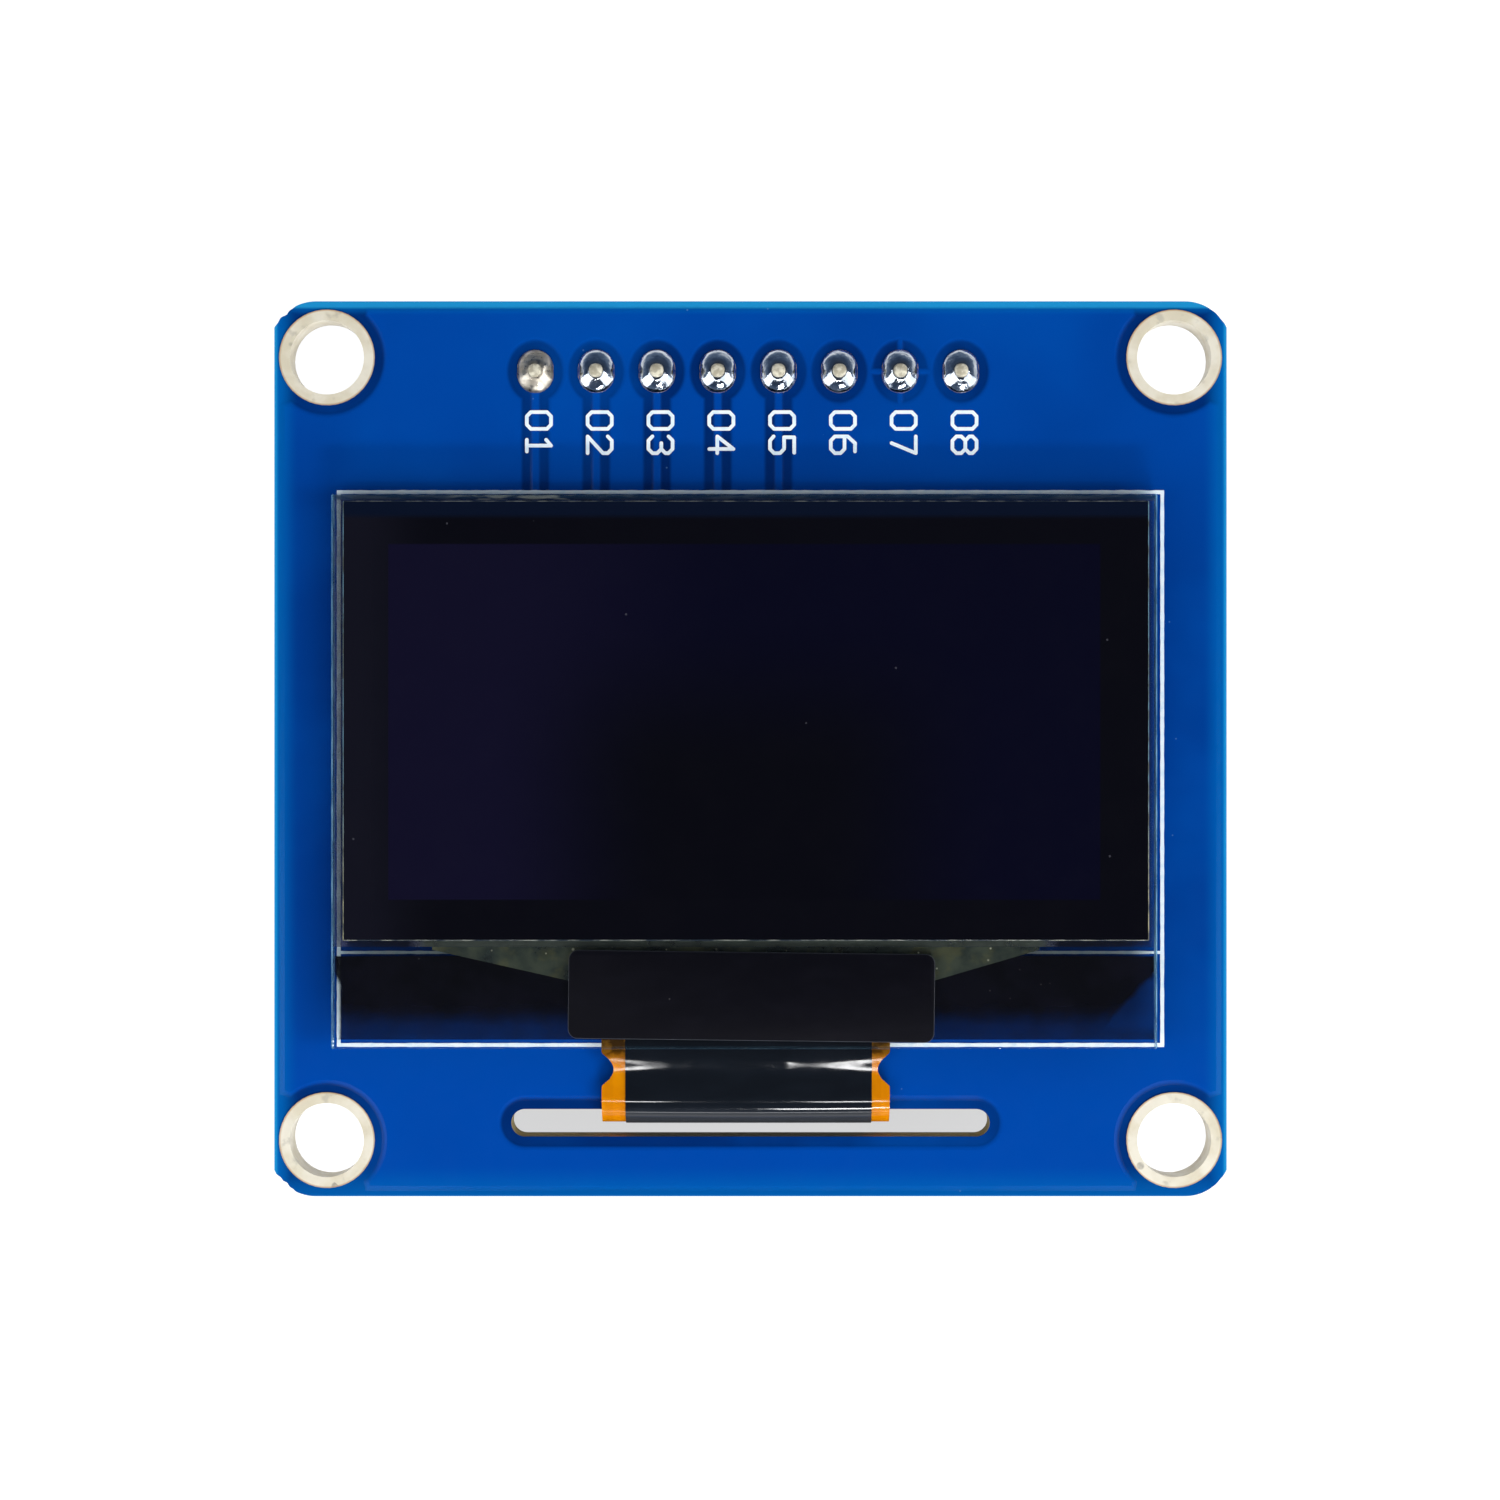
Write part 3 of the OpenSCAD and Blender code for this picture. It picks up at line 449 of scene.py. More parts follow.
FAINT = (0.96, 0.98, 0.98)  # tint of the clear resins, and of the ledge's painted shade where it is clear
SOLDER_FLOW = 2.0, 3, (1, 1, 0.6)
PATCHES = 3, 3, EVEN, 6  # noise of the plastics' gloss
MASK = solder_mask()
LAMINATE = laminate()
INK = clouded(
    "white_ink", (242, 251, 255), (218, 238, 250), (2.5, 3), 0.6, (14, 2), 0.004, (0.4, 0.75),
    Specular_IOR_Level=0.3,
)
TINNED = tinned("tinned_copper", True)
TINNED_PADS = tinned("tinned_pads", False)
SOLDER = bright_solder("solder")
REAR_SOLDER = bright_solder("rear_solder")
DULL_SOLDER = clouded(
    "dull_solder", (168, 160, 146), (206, 199, 186), SOLDER_FLOW, (0.26, 0.4, 6, 3, EVEN, 3), depth=0.05,
    Metallic=1.0,
)
TERMINAL = clouded(
    "terminal_tin", (196, 194, 190), (224, 223, 220), (4, 3), (0.25, 0.42, 9, 2, EVEN, 3), depth=0.02,
    Metallic=0.85,
)
PIN = pin_metal()
HOUSING, TAPE, CHIP = (
    clouded(name, dark, light, (1.2, 4), (*gloss, *PATCHES), relief, 0.008)
    for name, dark, light, gloss, relief in (
        ("header_plastic", (16, 16, 18), (26, 26, 28), (0.4, 0.55), (12, 3)),
        ("black_tape", (12, 12, 13), (20, 20, 22), (0.6, 0.8), (5, 3)),
        ("chip_plastic", (20, 20, 22), (32, 32, 34), (0.5, 0.7), (16, 3)),
    )
)
GLASS = glass()
SEAL = seal_resin()
POLARIZER = polarizer()
PALE_RESIN = pale_resin()
# the painted shade under the ledge
LEDGE_SHADE = dark_resin()
SHIELD = black_film("shield_film", rgb(13, 13, 19), (0.3, 0.36), 0.6, 0.03)
COVER = black_film("flex_cover", rgb(16, 20, 26), (0.055, 0.09), 0.15, 0.4)
POLYIMIDE = polyimide()
CERAMIC = clouded("capacitor_ceramic", (150, 112, 78), (186, 148, 108), (2.5, 4), 0.5, (9, 3))
RESISTOR = resistor_body()
GETTER = clouded("getter", (86, 86, 90), (108, 108, 112), (1.5, 4), 0.8)
PIXELS = clouded("pixel_layers", (16, 15, 34), (24, 22, 44), (1.5, 4), 0.3)
SILICON = clouded("silicon", (70, 72, 80), (92, 94, 102), (1.5, 4), 0.2, Metallic=0.5)
ADHESIVE = clouded("bond_adhesive", (170, 168, 150), (196, 192, 172), (1.5, 4), 0.5)


# ---------------------------------------------------------------- meshes


class Mesh:
    """Collects the faces of one piece, in millimetres."""

    def __init__(self):
        self.points = []
        self.faces = []

    def add(self, points, faces):
        first = len(self.points)
        self.points += [tuple(p) for p in points]
        self.faces += [[first + i for i in face] for face in faces]
        return self

    def loft(self, rings, caps=True):
        """Skins closed rings of equal length, from the first to the last."""
        n, last = len(rings[0]), len(rings) - 1
        faces = [
            (k * n + i, k * n + (i + 1) % n, (k + 1) * n + (i + 1) % n, (k + 1) * n + i)
            for k in range(last)
            for i in range(n)
        ]
        if caps:
            faces += [list(range(n))[::-1], [last * n + i for i in range(n)]]
        return self.add([p for ring in rings for p in ring], faces)

    def prism(self, outline, low, high):
        """A flat outline without holes, pulled from one height to another."""
        return self.loft([[(x, y, z) for x, y in outline] for z in (low, high)])

    def block(self, low, high):
        outline = [(low[0], low[1]), (high[0], low[1]), (high[0], high[1]), (low[0], high[1])]
        return self.prism(outline, low[2], high[2])

    def strip(self, line, halves, low, high, slope=0.0):
        """A flat strip along points, with mitred bends and its half width at each point. slope narrows its
        outer face."""
        line = [Vector(p) for p in line]
        rings = []
        for i, (here, half) in enumerate(zip(line, halves)):
            parts = zip(line[max(i - 1, 0):i + 1], line[max(i, 1):i + 2])
            ways = [(b - a).normalized() for a, b in parts if a != b]
            way = sum(ways, Vector((0, 0))).normalized()
            side = Vector((-way.y, way.x)) / max(0.4, way.dot(ways[0]))
            rings.append([
                (*(here + side * half), low), (*(here + side * (half - slope)), high),
                (*(here - side * (half - slope)), high), (*(here - side * half), low),
            ])
        return self.loft(rings)

    def capsule(self, a, b, width, low, high):
        """A straight stroke with round ends."""
        steps = 8
        turn = math.atan2(b.y - a.y, b.x - a.x)
        outline = []
        for centre, start in ((b, turn - math.pi / 2), (a, turn + math.pi / 2)):
            for i in range(steps + 1):
                t = start + math.pi * i / steps
                outline.append((centre.x + width / 2 * math.cos(t), centre.y + width / 2 * math.sin(t)))
        return self.prism(outline, low, high)


def circle(x, y, radius, steps=64):
    turn = 2 * math.pi / steps
    return [(x + radius * math.cos(turn * i), y + radius * math.sin(turn * i)) for i in range(steps)]


def rounded(x, y, width, height, radius, steps, angle=0.0):
    """Rectangle with round corners about (x, y), counted counter-clockwise."""
    points = []
    for k, (sx, sy) in enumerate(((1, 1), (-1, 1), (-1, -1), (1, -1))):
        for i in range(steps + 1):
            a = math.pi / 2 * (k + i / steps)
            x_out, y_out = width / 2 - radius, height / 2 - radius
            points.append((sx * x_out + radius * math.cos(a), sy * y_out + radius * math.sin(a)))
    c, s = math.cos(angle), math.sin(angle)
    return [(x + c * px - s * py, y + s * px + c * py) for px, py in points]


def fill(outlines, low, high):
    """Mesh of a flat plate with holes: the first outline is its rim, in millimetres."""
    curve = bpy.data.curves.new("outline", "CURVE")
    curve.dimensions = "2D"
    curve.fill_mode = "BOTH"
    curve.extrude = (high - low) / 2
    for outline in outlines:
        spline = curve.splines.new("POLY")
        spline.points.add(len(outline) - 1)
        for point, (x, y) in zip(spline.points, outline):
            point.co = (x, y, 0, 1)
        spline.use_cyclic_u = True
    holder = bpy.data.objects.new("outline", curve)
    bpy.context.scene.collection.objects.link(holder)
    shown = holder.evaluated_get(bpy.context.evaluated_depsgraph_get())
    mesh = bpy.data.meshes.new_from_object(shown)
    bpy.data.objects.remove(holder)
    made = bmesh.new()
    made.from_mesh(mesh)
    bpy.data.meshes.remove(mesh)
    bmesh.ops.remove_doubles(made, verts=made.verts, dist=1e-5)
    bmesh.ops.translate(made, verts=made.verts, vec=(0, 0, (low + high) / 2))
    bmesh.ops.recalc_face_normals(made, faces=made.faces)
    return made


def show(name, made, materials, replaces=(), smooth=35, bevel=0.0, segments=2):
    """Makes a piece of the module from a Mesh or bmesh in millimetres."""
    if isinstance(made, Mesh):
        source, made = made, bmesh.new()
        points = [made.verts.new(p) for p in source.points]
        for face in source.faces:
            made.faces.new([points[i] for i in face])
        bmesh.ops.remove_doubles(made, verts=made.verts, dist=1e-6)
        bmesh.ops.recalc_face_normals(made, faces=made.faces)
    bmesh.ops.scale(made, vec=(MM, MM, MM), verts=made.verts)
    mesh = bpy.data.meshes.new(name)
    made.to_mesh(mesh)
    made.free()
    for material in materials if isinstance(materials, list) else [materials]:
        mesh.materials.append(material)
    mesh.shade_smooth()
    mesh.set_sharp_from_angle(angle=math.radians(smooth))
    piece = bpy.data.objects.new(name, mesh)
    bpy.context.scene.collection.objects.link(piece)
    if bevel:
        rounding = piece.modifiers.new("rounding", "BEVEL")
        rounding.width = bevel * MM
        rounding.segments = segments
        rounding.limit_method = "ANGLE"
        rounding.angle_limit = math.radians(40)
        rounding.use_clamp_overlap = True
        rounding.harden_normals = True
    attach(piece, "root")
    if replaces:
        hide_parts(*replaces)
    return piece


def finish_node(material, *nodes):
    """Gives carried-over CAD nodes their material."""
    for node in nodes:
        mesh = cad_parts[node].data
        mesh.materials.clear()
        mesh.materials.append(material)


# ---------------------------------------------------------------- board


CORNER_ALONG = 1.75  # the round corner's reach along the upper or lower edge, which it meets smoothly
CORNER_DOWN = 1.1  # and down the side, where it ends in a blunt angle


def corner(sx, sy, rough, seed):
    """Round corner of the board. On the left it is ragged, where the board broke out of its panel."""
    r = (CORNER_ALONG**2 + CORNER_DOWN**2) / (2 * CORNER_DOWN)
    x0, y0 = BOARD_HIGH.x - CORNER_ALONG, BOARD_HIGH.y - r
    start = math.asin((r - CORNER_DOWN) / r)
    steps = 22
    points = []
    for i in range(steps + 1):
        t = i / steps
        a = start + (math.pi / 2 - start) * t
        fade = math.sin(math.pi * min(1, 1.6 * t)) if t < 0.62 else 0.0
        reach = r + rough * (noise.noise(Vector((7.0 * t, seed, 0))) - 0.35) * max(0.0, fade)
        points.append((sx * (x0 + reach * math.cos(a)), sy * (y0 + reach * math.sin(a))))
    return points if sx * sy > 0 else points[::-1]


def slot_outline(margin):
    w = SLOT_W + 2 * margin
    return rounded(0, SLOT_Y, SLOT_L + 2 * margin, w, w / 2 - 1e-4, 12)


def build_board():
    rim = corner(1, 1, 0.03, 1) + corner(-1, 1, 0.12, 2) + corner(-1, -1, 0.16, 5) + corner(1, -1, 0.03, 4)
    outlines = [rim, slot_outline(0)]
    outlines += [circle(hole.x, hole.y, HOLE_R + PLATING) for hole in HOLES]
    outlines += [circle(pin.x, pin.y, PIN_DRILL_R, 32) for pin in PINS]
    made = fill(outlines, 0, BOARD_T)
    for face in made.faces:
        face.material_index = 0 if abs(face.normal.z) > 0.5 else 1
    show("board", made, [MASK, LAMINATE], ["pcb"], smooth=8)


GAP_R_X, GAP_R_Y = 1.06, 1.2  # bare laminate round a header pad
TRACK_W = 0.33
SPOKE_W = 0.24
TRACK_GAP = 0.3
SLOT_GAP = 0.35
MARGIN = 0.22  # bare laminate along the board's edges
RING_GAP = 0.3
BLUNT, CUT = 0.34, 0.75  # angle and length that blunt the copper's points beside a ring
SOFT_RIM = 0.22  # the mask runs down softly at the copper's edges
TRACK_RIM = 0.14


def pour_outline():
    """Rim of the copper: straight along the board, and round each mounting ring."""
    x, y, r = BOARD_HIGH.x - MARGIN, BOARD_HIGH.y - MARGIN, RING_R + RING_GAP
    points = []
    for sx, sy in ((1, 1), (-1, 1), (-1, -1), (1, -1)):
        a = math.atan2(-math.sqrt(r * r - (x - HOLE_X) ** 2), x - HOLE_X)
        b = math.atan2(y - HOLE_Y, -math.sqrt(r * r - (y - HOLE_Y) ** 2)) - 2 * math.pi
        arc = [a - BLUNT + (b - a + 2 * BLUNT) * i / 40 for i in range(41)]
        part = [(HOLE_X + r * math.cos(t), HOLE_Y + r * math.sin(t)) for t in arc]
        part = [(x, HOLE_Y + r * math.sin(a) - CUT)] + part + [(HOLE_X + r * math.cos(b) - CUT, y)]
        part = [(sx * px, sy * py) for px, py in part]
        points += part if sx * sy > 0 else part[::-1]
    return points


def oval(pin):
    """Gap round a header pad: longer than wide, as the pad is."""
    points = circle(pin.x, pin.y, 1.0, 72)
    return [(pin.x + (x - pin.x) * GAP_R_X, pin.y + (y - pin.y) * GAP_R_Y) for x, y in points]


def keyhole(pin, low):
    """Gap round a pad with a channel for its track down to y = low."""
    half = TRACK_W / 2 + TRACK_GAP
    start = -math.acos(half / GAP_R_X)
    turn = math.pi - 2 * start
    loop = [(pin.x + half, low)]
    for i in range(65):
        a = start + turn * i / 64
        loop.append((pin.x + GAP_R_X * math.cos(a), pin.y + GAP_R_Y * math.sin(a)))
    loop.append((pin.x - half, low))
    return loop


def inset(outline, distance):
    """Outline moved inwards where it runs anticlockwise, and outwards where it runs clockwise. Points that
    would fold over wait at the last good one."""
    base = [Vector(p) for p in outline]
    edges = list(zip(base, base[1:] + base[:1]))
    moved = []
    for (a, here), (_, b) in zip([edges[-1]] + edges[:-1], edges):
        way_in, way_out = (here - a).normalized(), (b - here).normalized()
        normal = Vector((-way_in.y - way_out.y, way_in.x + way_out.x)).normalized()
        reach = distance / max(0.5, normal.dot((-way_in.y, way_in.x)))
        moved.append(here + normal * reach)

    def from_base(p):
        gaps = []
        for a, b in edges:
            way = b - a
            t = min(1, max(0, (p - a).dot(way) / way.length_squared))
            gaps.append((p - a - way * t).length)
        return min(gaps)

    good = [from_base(p) > 0.97 * distance for p in moved]
    first = good.index(True)
    last = moved[first]
    for k in range(len(moved)):
        i = (first + k) % len(moved)
        last = moved[i] if good[i] else last
        moved[i] = last
    return moved


def turn_left(outline, left=True):
    """The outline in anticlockwise order, or clockwise."""
    area = sum(a[0] * b[1] - b[0] * a[1] for a, b in zip(outline, outline[1:] + outline[:1]))
    return outline if (area > 0) == left else outline[::-1]


def build_copper(name, rim, gaps, face, out):
    """Copper plane under the mask, with gaps in it. Its edges run down softly to the laminate."""
    outlines = [turn_left(rim)] + [turn_left(gap, False) for gap in gaps]
    tops = [inset(outline, SOFT_RIM) for outline in outlines]
    level = face + out * POUR_T
    plate = [[p for p, q in zip(top, top[1:] + top[:1]) if p != q] for top in tops]
    show(name, fill(plate, *sorted((face, level))), MASK, smooth=3)
    skirt = Mesh()
    for outline, top in zip(outlines, tops):
        inner = inset(outline, SOFT_RIM + 0.02)
        ring = [
            [(*a, face + out * 0.001), (*b, level - out * 0.0005), (*c, face + out * 0.001)]
            for a, b, c in zip(outline, top, inner)
        ]
        skirt.loft(ring + ring[:1], caps=False)
    show(f"{name}_rims", skirt, MASK, smooth=12)


def track(mesh, line, width, face, out, lift=0.0):
    halves = [width / 2 + TRACK_RIM / 2] * len(line)
    mesh.strip(line, halves, face, face + out * (POUR_T - 0.004 + lift), TRACK_RIM)


def build_front_copper():
    """The plane with gaps round the pads, and the tracks to the panel."""
    under = GLASS_HIGH.y - 0.8
    gaps = [keyhole(pin, under) for pin in PINS[:5]] + [oval(pin) for pin in PINS[5:]]
    build_copper("front_copper", pour_outline(), [slot_outline(SLOT_GAP)] + gaps, BOARD_T, 1)
    tracks = Mesh()
    for pin in PINS[:5]:
        track(tracks, [(pin.x, pin.y), (pin.x, under + 0.1)], TRACK_W, BOARD_T, 1)
    build_spokes(tracks, PINS[6], BOARD_T, 1)
    show("front_tracks", tracks, MASK, smooth=3)


def build_spokes(mesh, pin, face, out):
    """Four spokes that join a pad to the copper round it, two of them a little higher where they cross."""
    for x, y in ((1, 0), (0, 1), (-1, 0), (0, -1)):
        line = [(pin.x + 0.5 * x, pin.y + 0.5 * y), (pin.x + 1.3 * x, pin.y + 1.4 * y)]
        track(mesh, line, SPOKE_W, face, out, 0.002 * abs(x) - 0.001)


build_board()
build_front_copper()
finish_node(TINNED, "header_pads", *[f"mounting_pad_{i}" for i in range(1, 5)])


# ---------------------------------------------------------------- white print

DIGITS = {  # strokes on a grid 4 wide and 6 high
    "0": ["1,0 3,0 4,1 4,5 3,6 1,6 0,5 0,1 1,0"],
    "1": ["0.8,4.8 2.2,6 2.2,0", "0.8,0 3.6,0"],
    "2": ["0,5 1,6 3,6 4,5 4,3.8 0,0 4,0"],
    "3": ["0,5 1,6 3,6 4,5 4,4.2 3,3.2 1.6,3.2", "3,3.2 4,2.2 4,1 3,0 1,0 0,1"],
    "4": ["3,0 3,6 0,2 4,2"],
    "5": ["3.9,6 0.2,6 0.2,3.5 3,3.5 4,2.5 4,1 3,0 1,0 0,0.9"],
    "6": ["3.6,6 1.6,6 0,4.2 0,1 1,0 3,0 4,1 4,2.4 3,3.4 0.2,3.4"],
    "7": ["0,6 4,6 1.6,0"],
    "8": ["1,3.2 3,3.2 4,4.2 4,5 3,6 1,6 0,5 0,4.2 1,3.2 0,2.2 0,1 1,0 3,0 4,1 4,2.2 3,3.2"],
}
INK_W = 0.15
DIGIT_W, DIGIT_H = 0.70, 1.01
DIGIT_STEP = 1.015
LIFT = 0.0006  # crossing strokes lie at slightly different heights


class Print(Mesh):
    """White ink on a face of the board, from its height outwards."""

    def __init__(self, base, outward):
        super().__init__()
        self.base, self.outward, self.level = base, outward, INK_T

    def heights(self):
        """Lower and upper height of the next stroke."""
        self.level += LIFT
        top = self.base + self.outward * self.level
        return min(self.base, top), max(self.base, top)

    def write(self, text, start, right, up):
        """Plain numbers. right and up are the directions of the writing."""
        right, up = Vector(right), Vector(up)
        for k, digit in enumerate(text):
            origin = Vector(start) + right * DIGIT_STEP * k
            self.level = INK_T
            for stroke in DIGITS[digit]:
                marks = [[float(v) for v in mark.split(",")] for mark in stroke.split()]
                points = [origin + right * (DIGIT_W * u / 4) + up * (DIGIT_H * v / 6) for u, v in marks]
                for a, b in zip(points, points[1:]):
                    self.capsule(a, b, INK_W, *self.heights())

    def line(self, start, end, width, wobble=0.015):
        """A printed line with slightly uneven edges."""
        start, end = Vector(start), Vector(end)
        count = max(2, int((end - start).length / 0.16))
        points = [start + (end - start) * i / count for i in range(count + 1)]
        halves = [width / 2 + wobble * noise.noise(Vector((p.x * 3.1, p.y * 3.1, 0.5))) for p in points]
        self.strip(points, halves, *self.heights())

    def frame(self, low, high, width):
        """Four lines round a rectangle."""
        left, right = low[0] - width / 2, high[0] + width / 2
        self.line((left, low[1]), (right, low[1]), width)
        self.line((high[0], low[1]), (high[0], high[1]), width)
        self.line((right, high[1]), (left, high[1]), width)
        self.line((low[0], high[1]), (low[0], low[1]), width)


FRAME_LOW, FRAME_HIGH = (-17.2, -12.375), (17.2, 10.72)
CAP_LINE_Y = -8.51
NUMBERS_X, NUMBERS_Y = 0.15, 14.14  # the numbers' middle beside each pin, and their upper end


def build_front_print():
    """Frame round the panel, the line under the cap glass's edge and the pins' numbers."""
    ink = Print(BOARD_T + POUR_T, 1)
    ink.frame(FRAME_LOW, FRAME_HIGH, 0.16)
    ink.line((FRAME_LOW[0], CAP_LINE_Y), (FRAME_HIGH[0], CAP_LINE_Y), 0.12)
    for i, pin in enumerate(PINS):
        ink.write(f"{i + 1:02d}", (pin.x + NUMBERS_X - DIGIT_H / 2, NUMBERS_Y - INK_W / 2), (0, -1), (1, 0))
    show("front_print", ink, INK)


build_front_print()


# ---------------------------------------------------------------- header


def build_joint(i, pin):
    """Solder of one pin: a low dome on its oval pad, each a little different."""
    low, high = box(f"solder_joint_{i}")
    half_w, half_l = (high.x - low.x) / 2, (high.y - low.y) / 2
    foot = BOARD_T + PLATING
    top_r = 0.29  # where the dome ends at the pin
    rim = 0.015  # height of its blunt edge on the pad
    height = high.z - foot - rim - 0.11  # the pin's end stands out of it
    fullness = random.uniform(1.45, 1.7)
    tilt = random.uniform(-0.03, 0.03), random.uniform(-0.03, 0.03)
    steps, levels = 72, 20
    rings = []
    for k in range(levels + 1):
        s = k / levels
        ring = []
        for j in range(steps):
            a = 2 * math.pi * j / steps
            sine = math.sin(a)
            edge_x = half_w * math.cos(a)
            edge_y = half_w * sine + math.copysign(half_l - half_w, sine) * min(1, abs(sine) * 4)
            x = edge_x + (top_r * math.cos(a) - edge_x) * s
            y = edge_y + (top_r * sine - edge_y) * s
            wave = 0.022 * noise.noise(Vector((x * 2.4 + i * 5, y * 2.4, 0.3))) * math.sin(math.pi * s)
            dome = foot + rim * min(1, 6 * s) + height * (1 - (1 - s)**fullness)
            z = dome + wave + tilt[0] * x * s + tilt[1] * y * s
            ring.append((pin.x + x, pin.y + y, min(max(foot, z), high.z)))
        rings.append(ring)
    mesh = Mesh().loft([[(x, y, foot - 0.02) for x, y, z in rings[0]]] + rings)
    finish = DULL_SOLDER if i == 1 else SOLDER  # the first joint went dull
    show(f"joint_{i}", mesh, finish, [f"solder_joint_{i}"], smooth=60)


def build_pin(i, pin):
    """Square pin with softened edges, tapered at its free end and rounded by solder at the other."""
    low, high = PIN_LOW.z, PIN_HIGH.z
    levels = [  # height, width and corner radius
        (low, 0.34, 0.05), (low + 0.03, 0.38, 0.06), (low + 0.5, 0.62, 0.05), (low + 0.55, 0.64, 0.05),
        (BOARD_T + 0.02, 0.64, 0.06), (high - 0.3, 0.6, 0.2), (high - 0.1, 0.56, 0.27),
        (high - 0.03, 0.54, 0.265), (high, 0.46, 0.22),
    ]
    mesh = Mesh().loft([[(x, y, z) for x, y in rounded(pin.x, pin.y, w, w, r, 5)] for z, w, r in levels])
    show(f"pin_{i}", mesh, PIN, [f"header_pin_{i}"], smooth=40)


def build_housing():
    """Plastic of the header: eight segments that break apart at the notches between them."""
    low, high = box("header_housing")
    half = (high.y - low.y) / 2
    pitch = PINS[1].x - PINS[0].x
    notch = 0.45
    outline = []
    for pins, way in ((PINS, 1), (PINS[::-1], -1)):
        for pin in pins:
            start, end = pin.x - way * pitch / 2, pin.x + way * pitch / 2
            outline += [
                (start, way * (notch - half)), (start + way * notch, -way * half),
                (end - way * notch, -way * half),
            ]
        outline.append((end, way * (notch - half)))
    mesh = Mesh().prism([(x, PINS[0].y + y) for x, y in outline], low.z, high.z)
    show("header_plastic", mesh, HOUSING, ["header_housing"], bevel=0.07, segments=3)


for index, centre in enumerate(PINS, 1):
    build_joint(index, centre)
    build_pin(index, centre)
build_housing()


# ---------------------------------------------------------------- display panel

SKIN = 0.004  # clear layers stay this far apart, so that no two faces coincide


def build_slab(name, node, material, bevel):
    show(name, Mesh().block(*box(node)), material, [node], bevel=bevel, segments=1)


def build_seal():
    """Frame that closes the gap between the two glasses."""
    low, high = box("edge_seal")
    width = 0.9
    centre_x, centre_y = (low.x + high.x) / 2, (low.y + high.y) / 2
    size_x, size_y = high.x - low.x - 0.02, high.y - low.y - 0.02
    outlines = [
        rounded(centre_x, centre_y, size_x - less, size_y - less, 0.05, 2) for less in (0.0, 2 * width)
    ]
    made = fill(outlines, low.z + SKIN, high.z - SKIN)
    show("sealing_frame", made, SEAL, ["edge_seal"], smooth=8)


def build_ledge_shade_and_resin():
    """A black sheet behind the ledge that paints the shade under it, and the pale resin that tapers away from
    the shield over it.
    """
    low, high = box("ledge_resin")
    bend = high.y - 1.4
    section = [
        (high.y, high.z - 2 * SKIN), (high.y, low.z), (bend, low.z + 0.05),
        (low.y, high.z - 0.03), (low.y, high.z - 2 * SKIN),
    ]
    mesh = Mesh().loft([[(x, y, z) for y, z in section] for x in (low.x + 0.01, high.x - 0.01)])
    # painted shade: the black sheet under the ledge
    show("ledge_shade_sheet", mesh, LEDGE_SHADE, ["ledge_resin"], smooth=8)

    low, high = box("edge_resin")
    shield_low, shield_high = box("shield")
    tip = high.y - 0.12
    outline = [
        (low.x, high.y), (low.x, tip), (shield_low.x, low.y),
        (shield_high.x, low.y), (high.x, tip), (high.x, high.y),
    ]
    mesh = Mesh().prism(outline, low.z, high.z - SKIN)
    show("pale_resin", mesh, PALE_RESIN, ["edge_resin"], smooth=8)


def build_shield():
    """Black film with round corners, laid by hand and so slightly askew."""
    low, high = box("shield")
    tilt = math.radians(-0.7)
    width, height, radius = 15.15, 3.66, 0.4
    centre = (low + high) / 2
    edge = 0.035
    rings = []
    for z, less in ((low.z, 0.0), (high.z - edge, 0.0), (high.z - edge * 0.3, edge * 0.3), (high.z, edge)):
        ring = rounded(centre.x, centre.y, width - 2 * less, height - 2 * less, radius - less, 8, tilt)
        rings.append([(x, y, z) for x, y in ring])
    show("shield_film", Mesh().loft(rings), SHIELD, ["shield"], smooth=25)


build_slab("cover_glass", "front_glass", GLASS, 0.07)
build_slab("polarizer_film", "polarizer", POLARIZER, 0.045)
build_seal()
build_ledge_shade_and_resin()
build_shield()
for material, node in (
    (GLASS, "cap_glass"), (GETTER, "moisture_getter"), (PIXELS, "pixel_layers"), (TAPE, "panel_tape"),
    (SILICON, "driver_chip"), (ADHESIVE, "bond_strip"),
):
    finish_node(material, node)


# ---------------------------------------------------------------- flexible circuit

FILM_T = 0.1
COVER_T = 0.05
COVER_W = 10.26
COVER_SHIFT = 0.12
Z_BOND = GLASS_LOW.z - COVER_T - FILM_T / 2
FILM_DIP = 0.16
DIP_START = GLASS_LOW.y - 0.1
DIP_END = DIP_START - 1.2
BEND_R = 1.15
REAR_R = 0.65
FILM_Y = SLOT_Y + COVER_T / 2
BEND_Y = FILM_Y + BEND_R
BEND_Z = Z_BOND - FILM_DIP - BEND_R
REAR_Y = FILM_Y + REAR_R
REAR_Z = -0.1
SLOPE_Y = REAR_Y + 2.4
SOLDER_Y = SLOPE_Y + 1.8
TAIL_TIP = SOLDER_Y + 2.0
NOTCH_Y = GLASS_LOW.y - 0.9
NOTCH_R = 0.5


def ease(t):
    return (1 - math.cos(math.pi * min(1, max(0, t)))) / 2


def between(start, end, steps):
    """Even steps from start to end, without the start."""
    return [start + (end - start) * i / steps for i in range(1, steps + 1)]


def bend(y, z, radius, quarter, steps):
    """A quarter circle about (y, z), which begins after that many quarter turns."""
    turns = [math.pi / 2 * (quarter + i / steps) for i in range(steps + 1)]
    return [(y + radius * math.cos(a), z + radius * math.sin(a)) for a in turns]


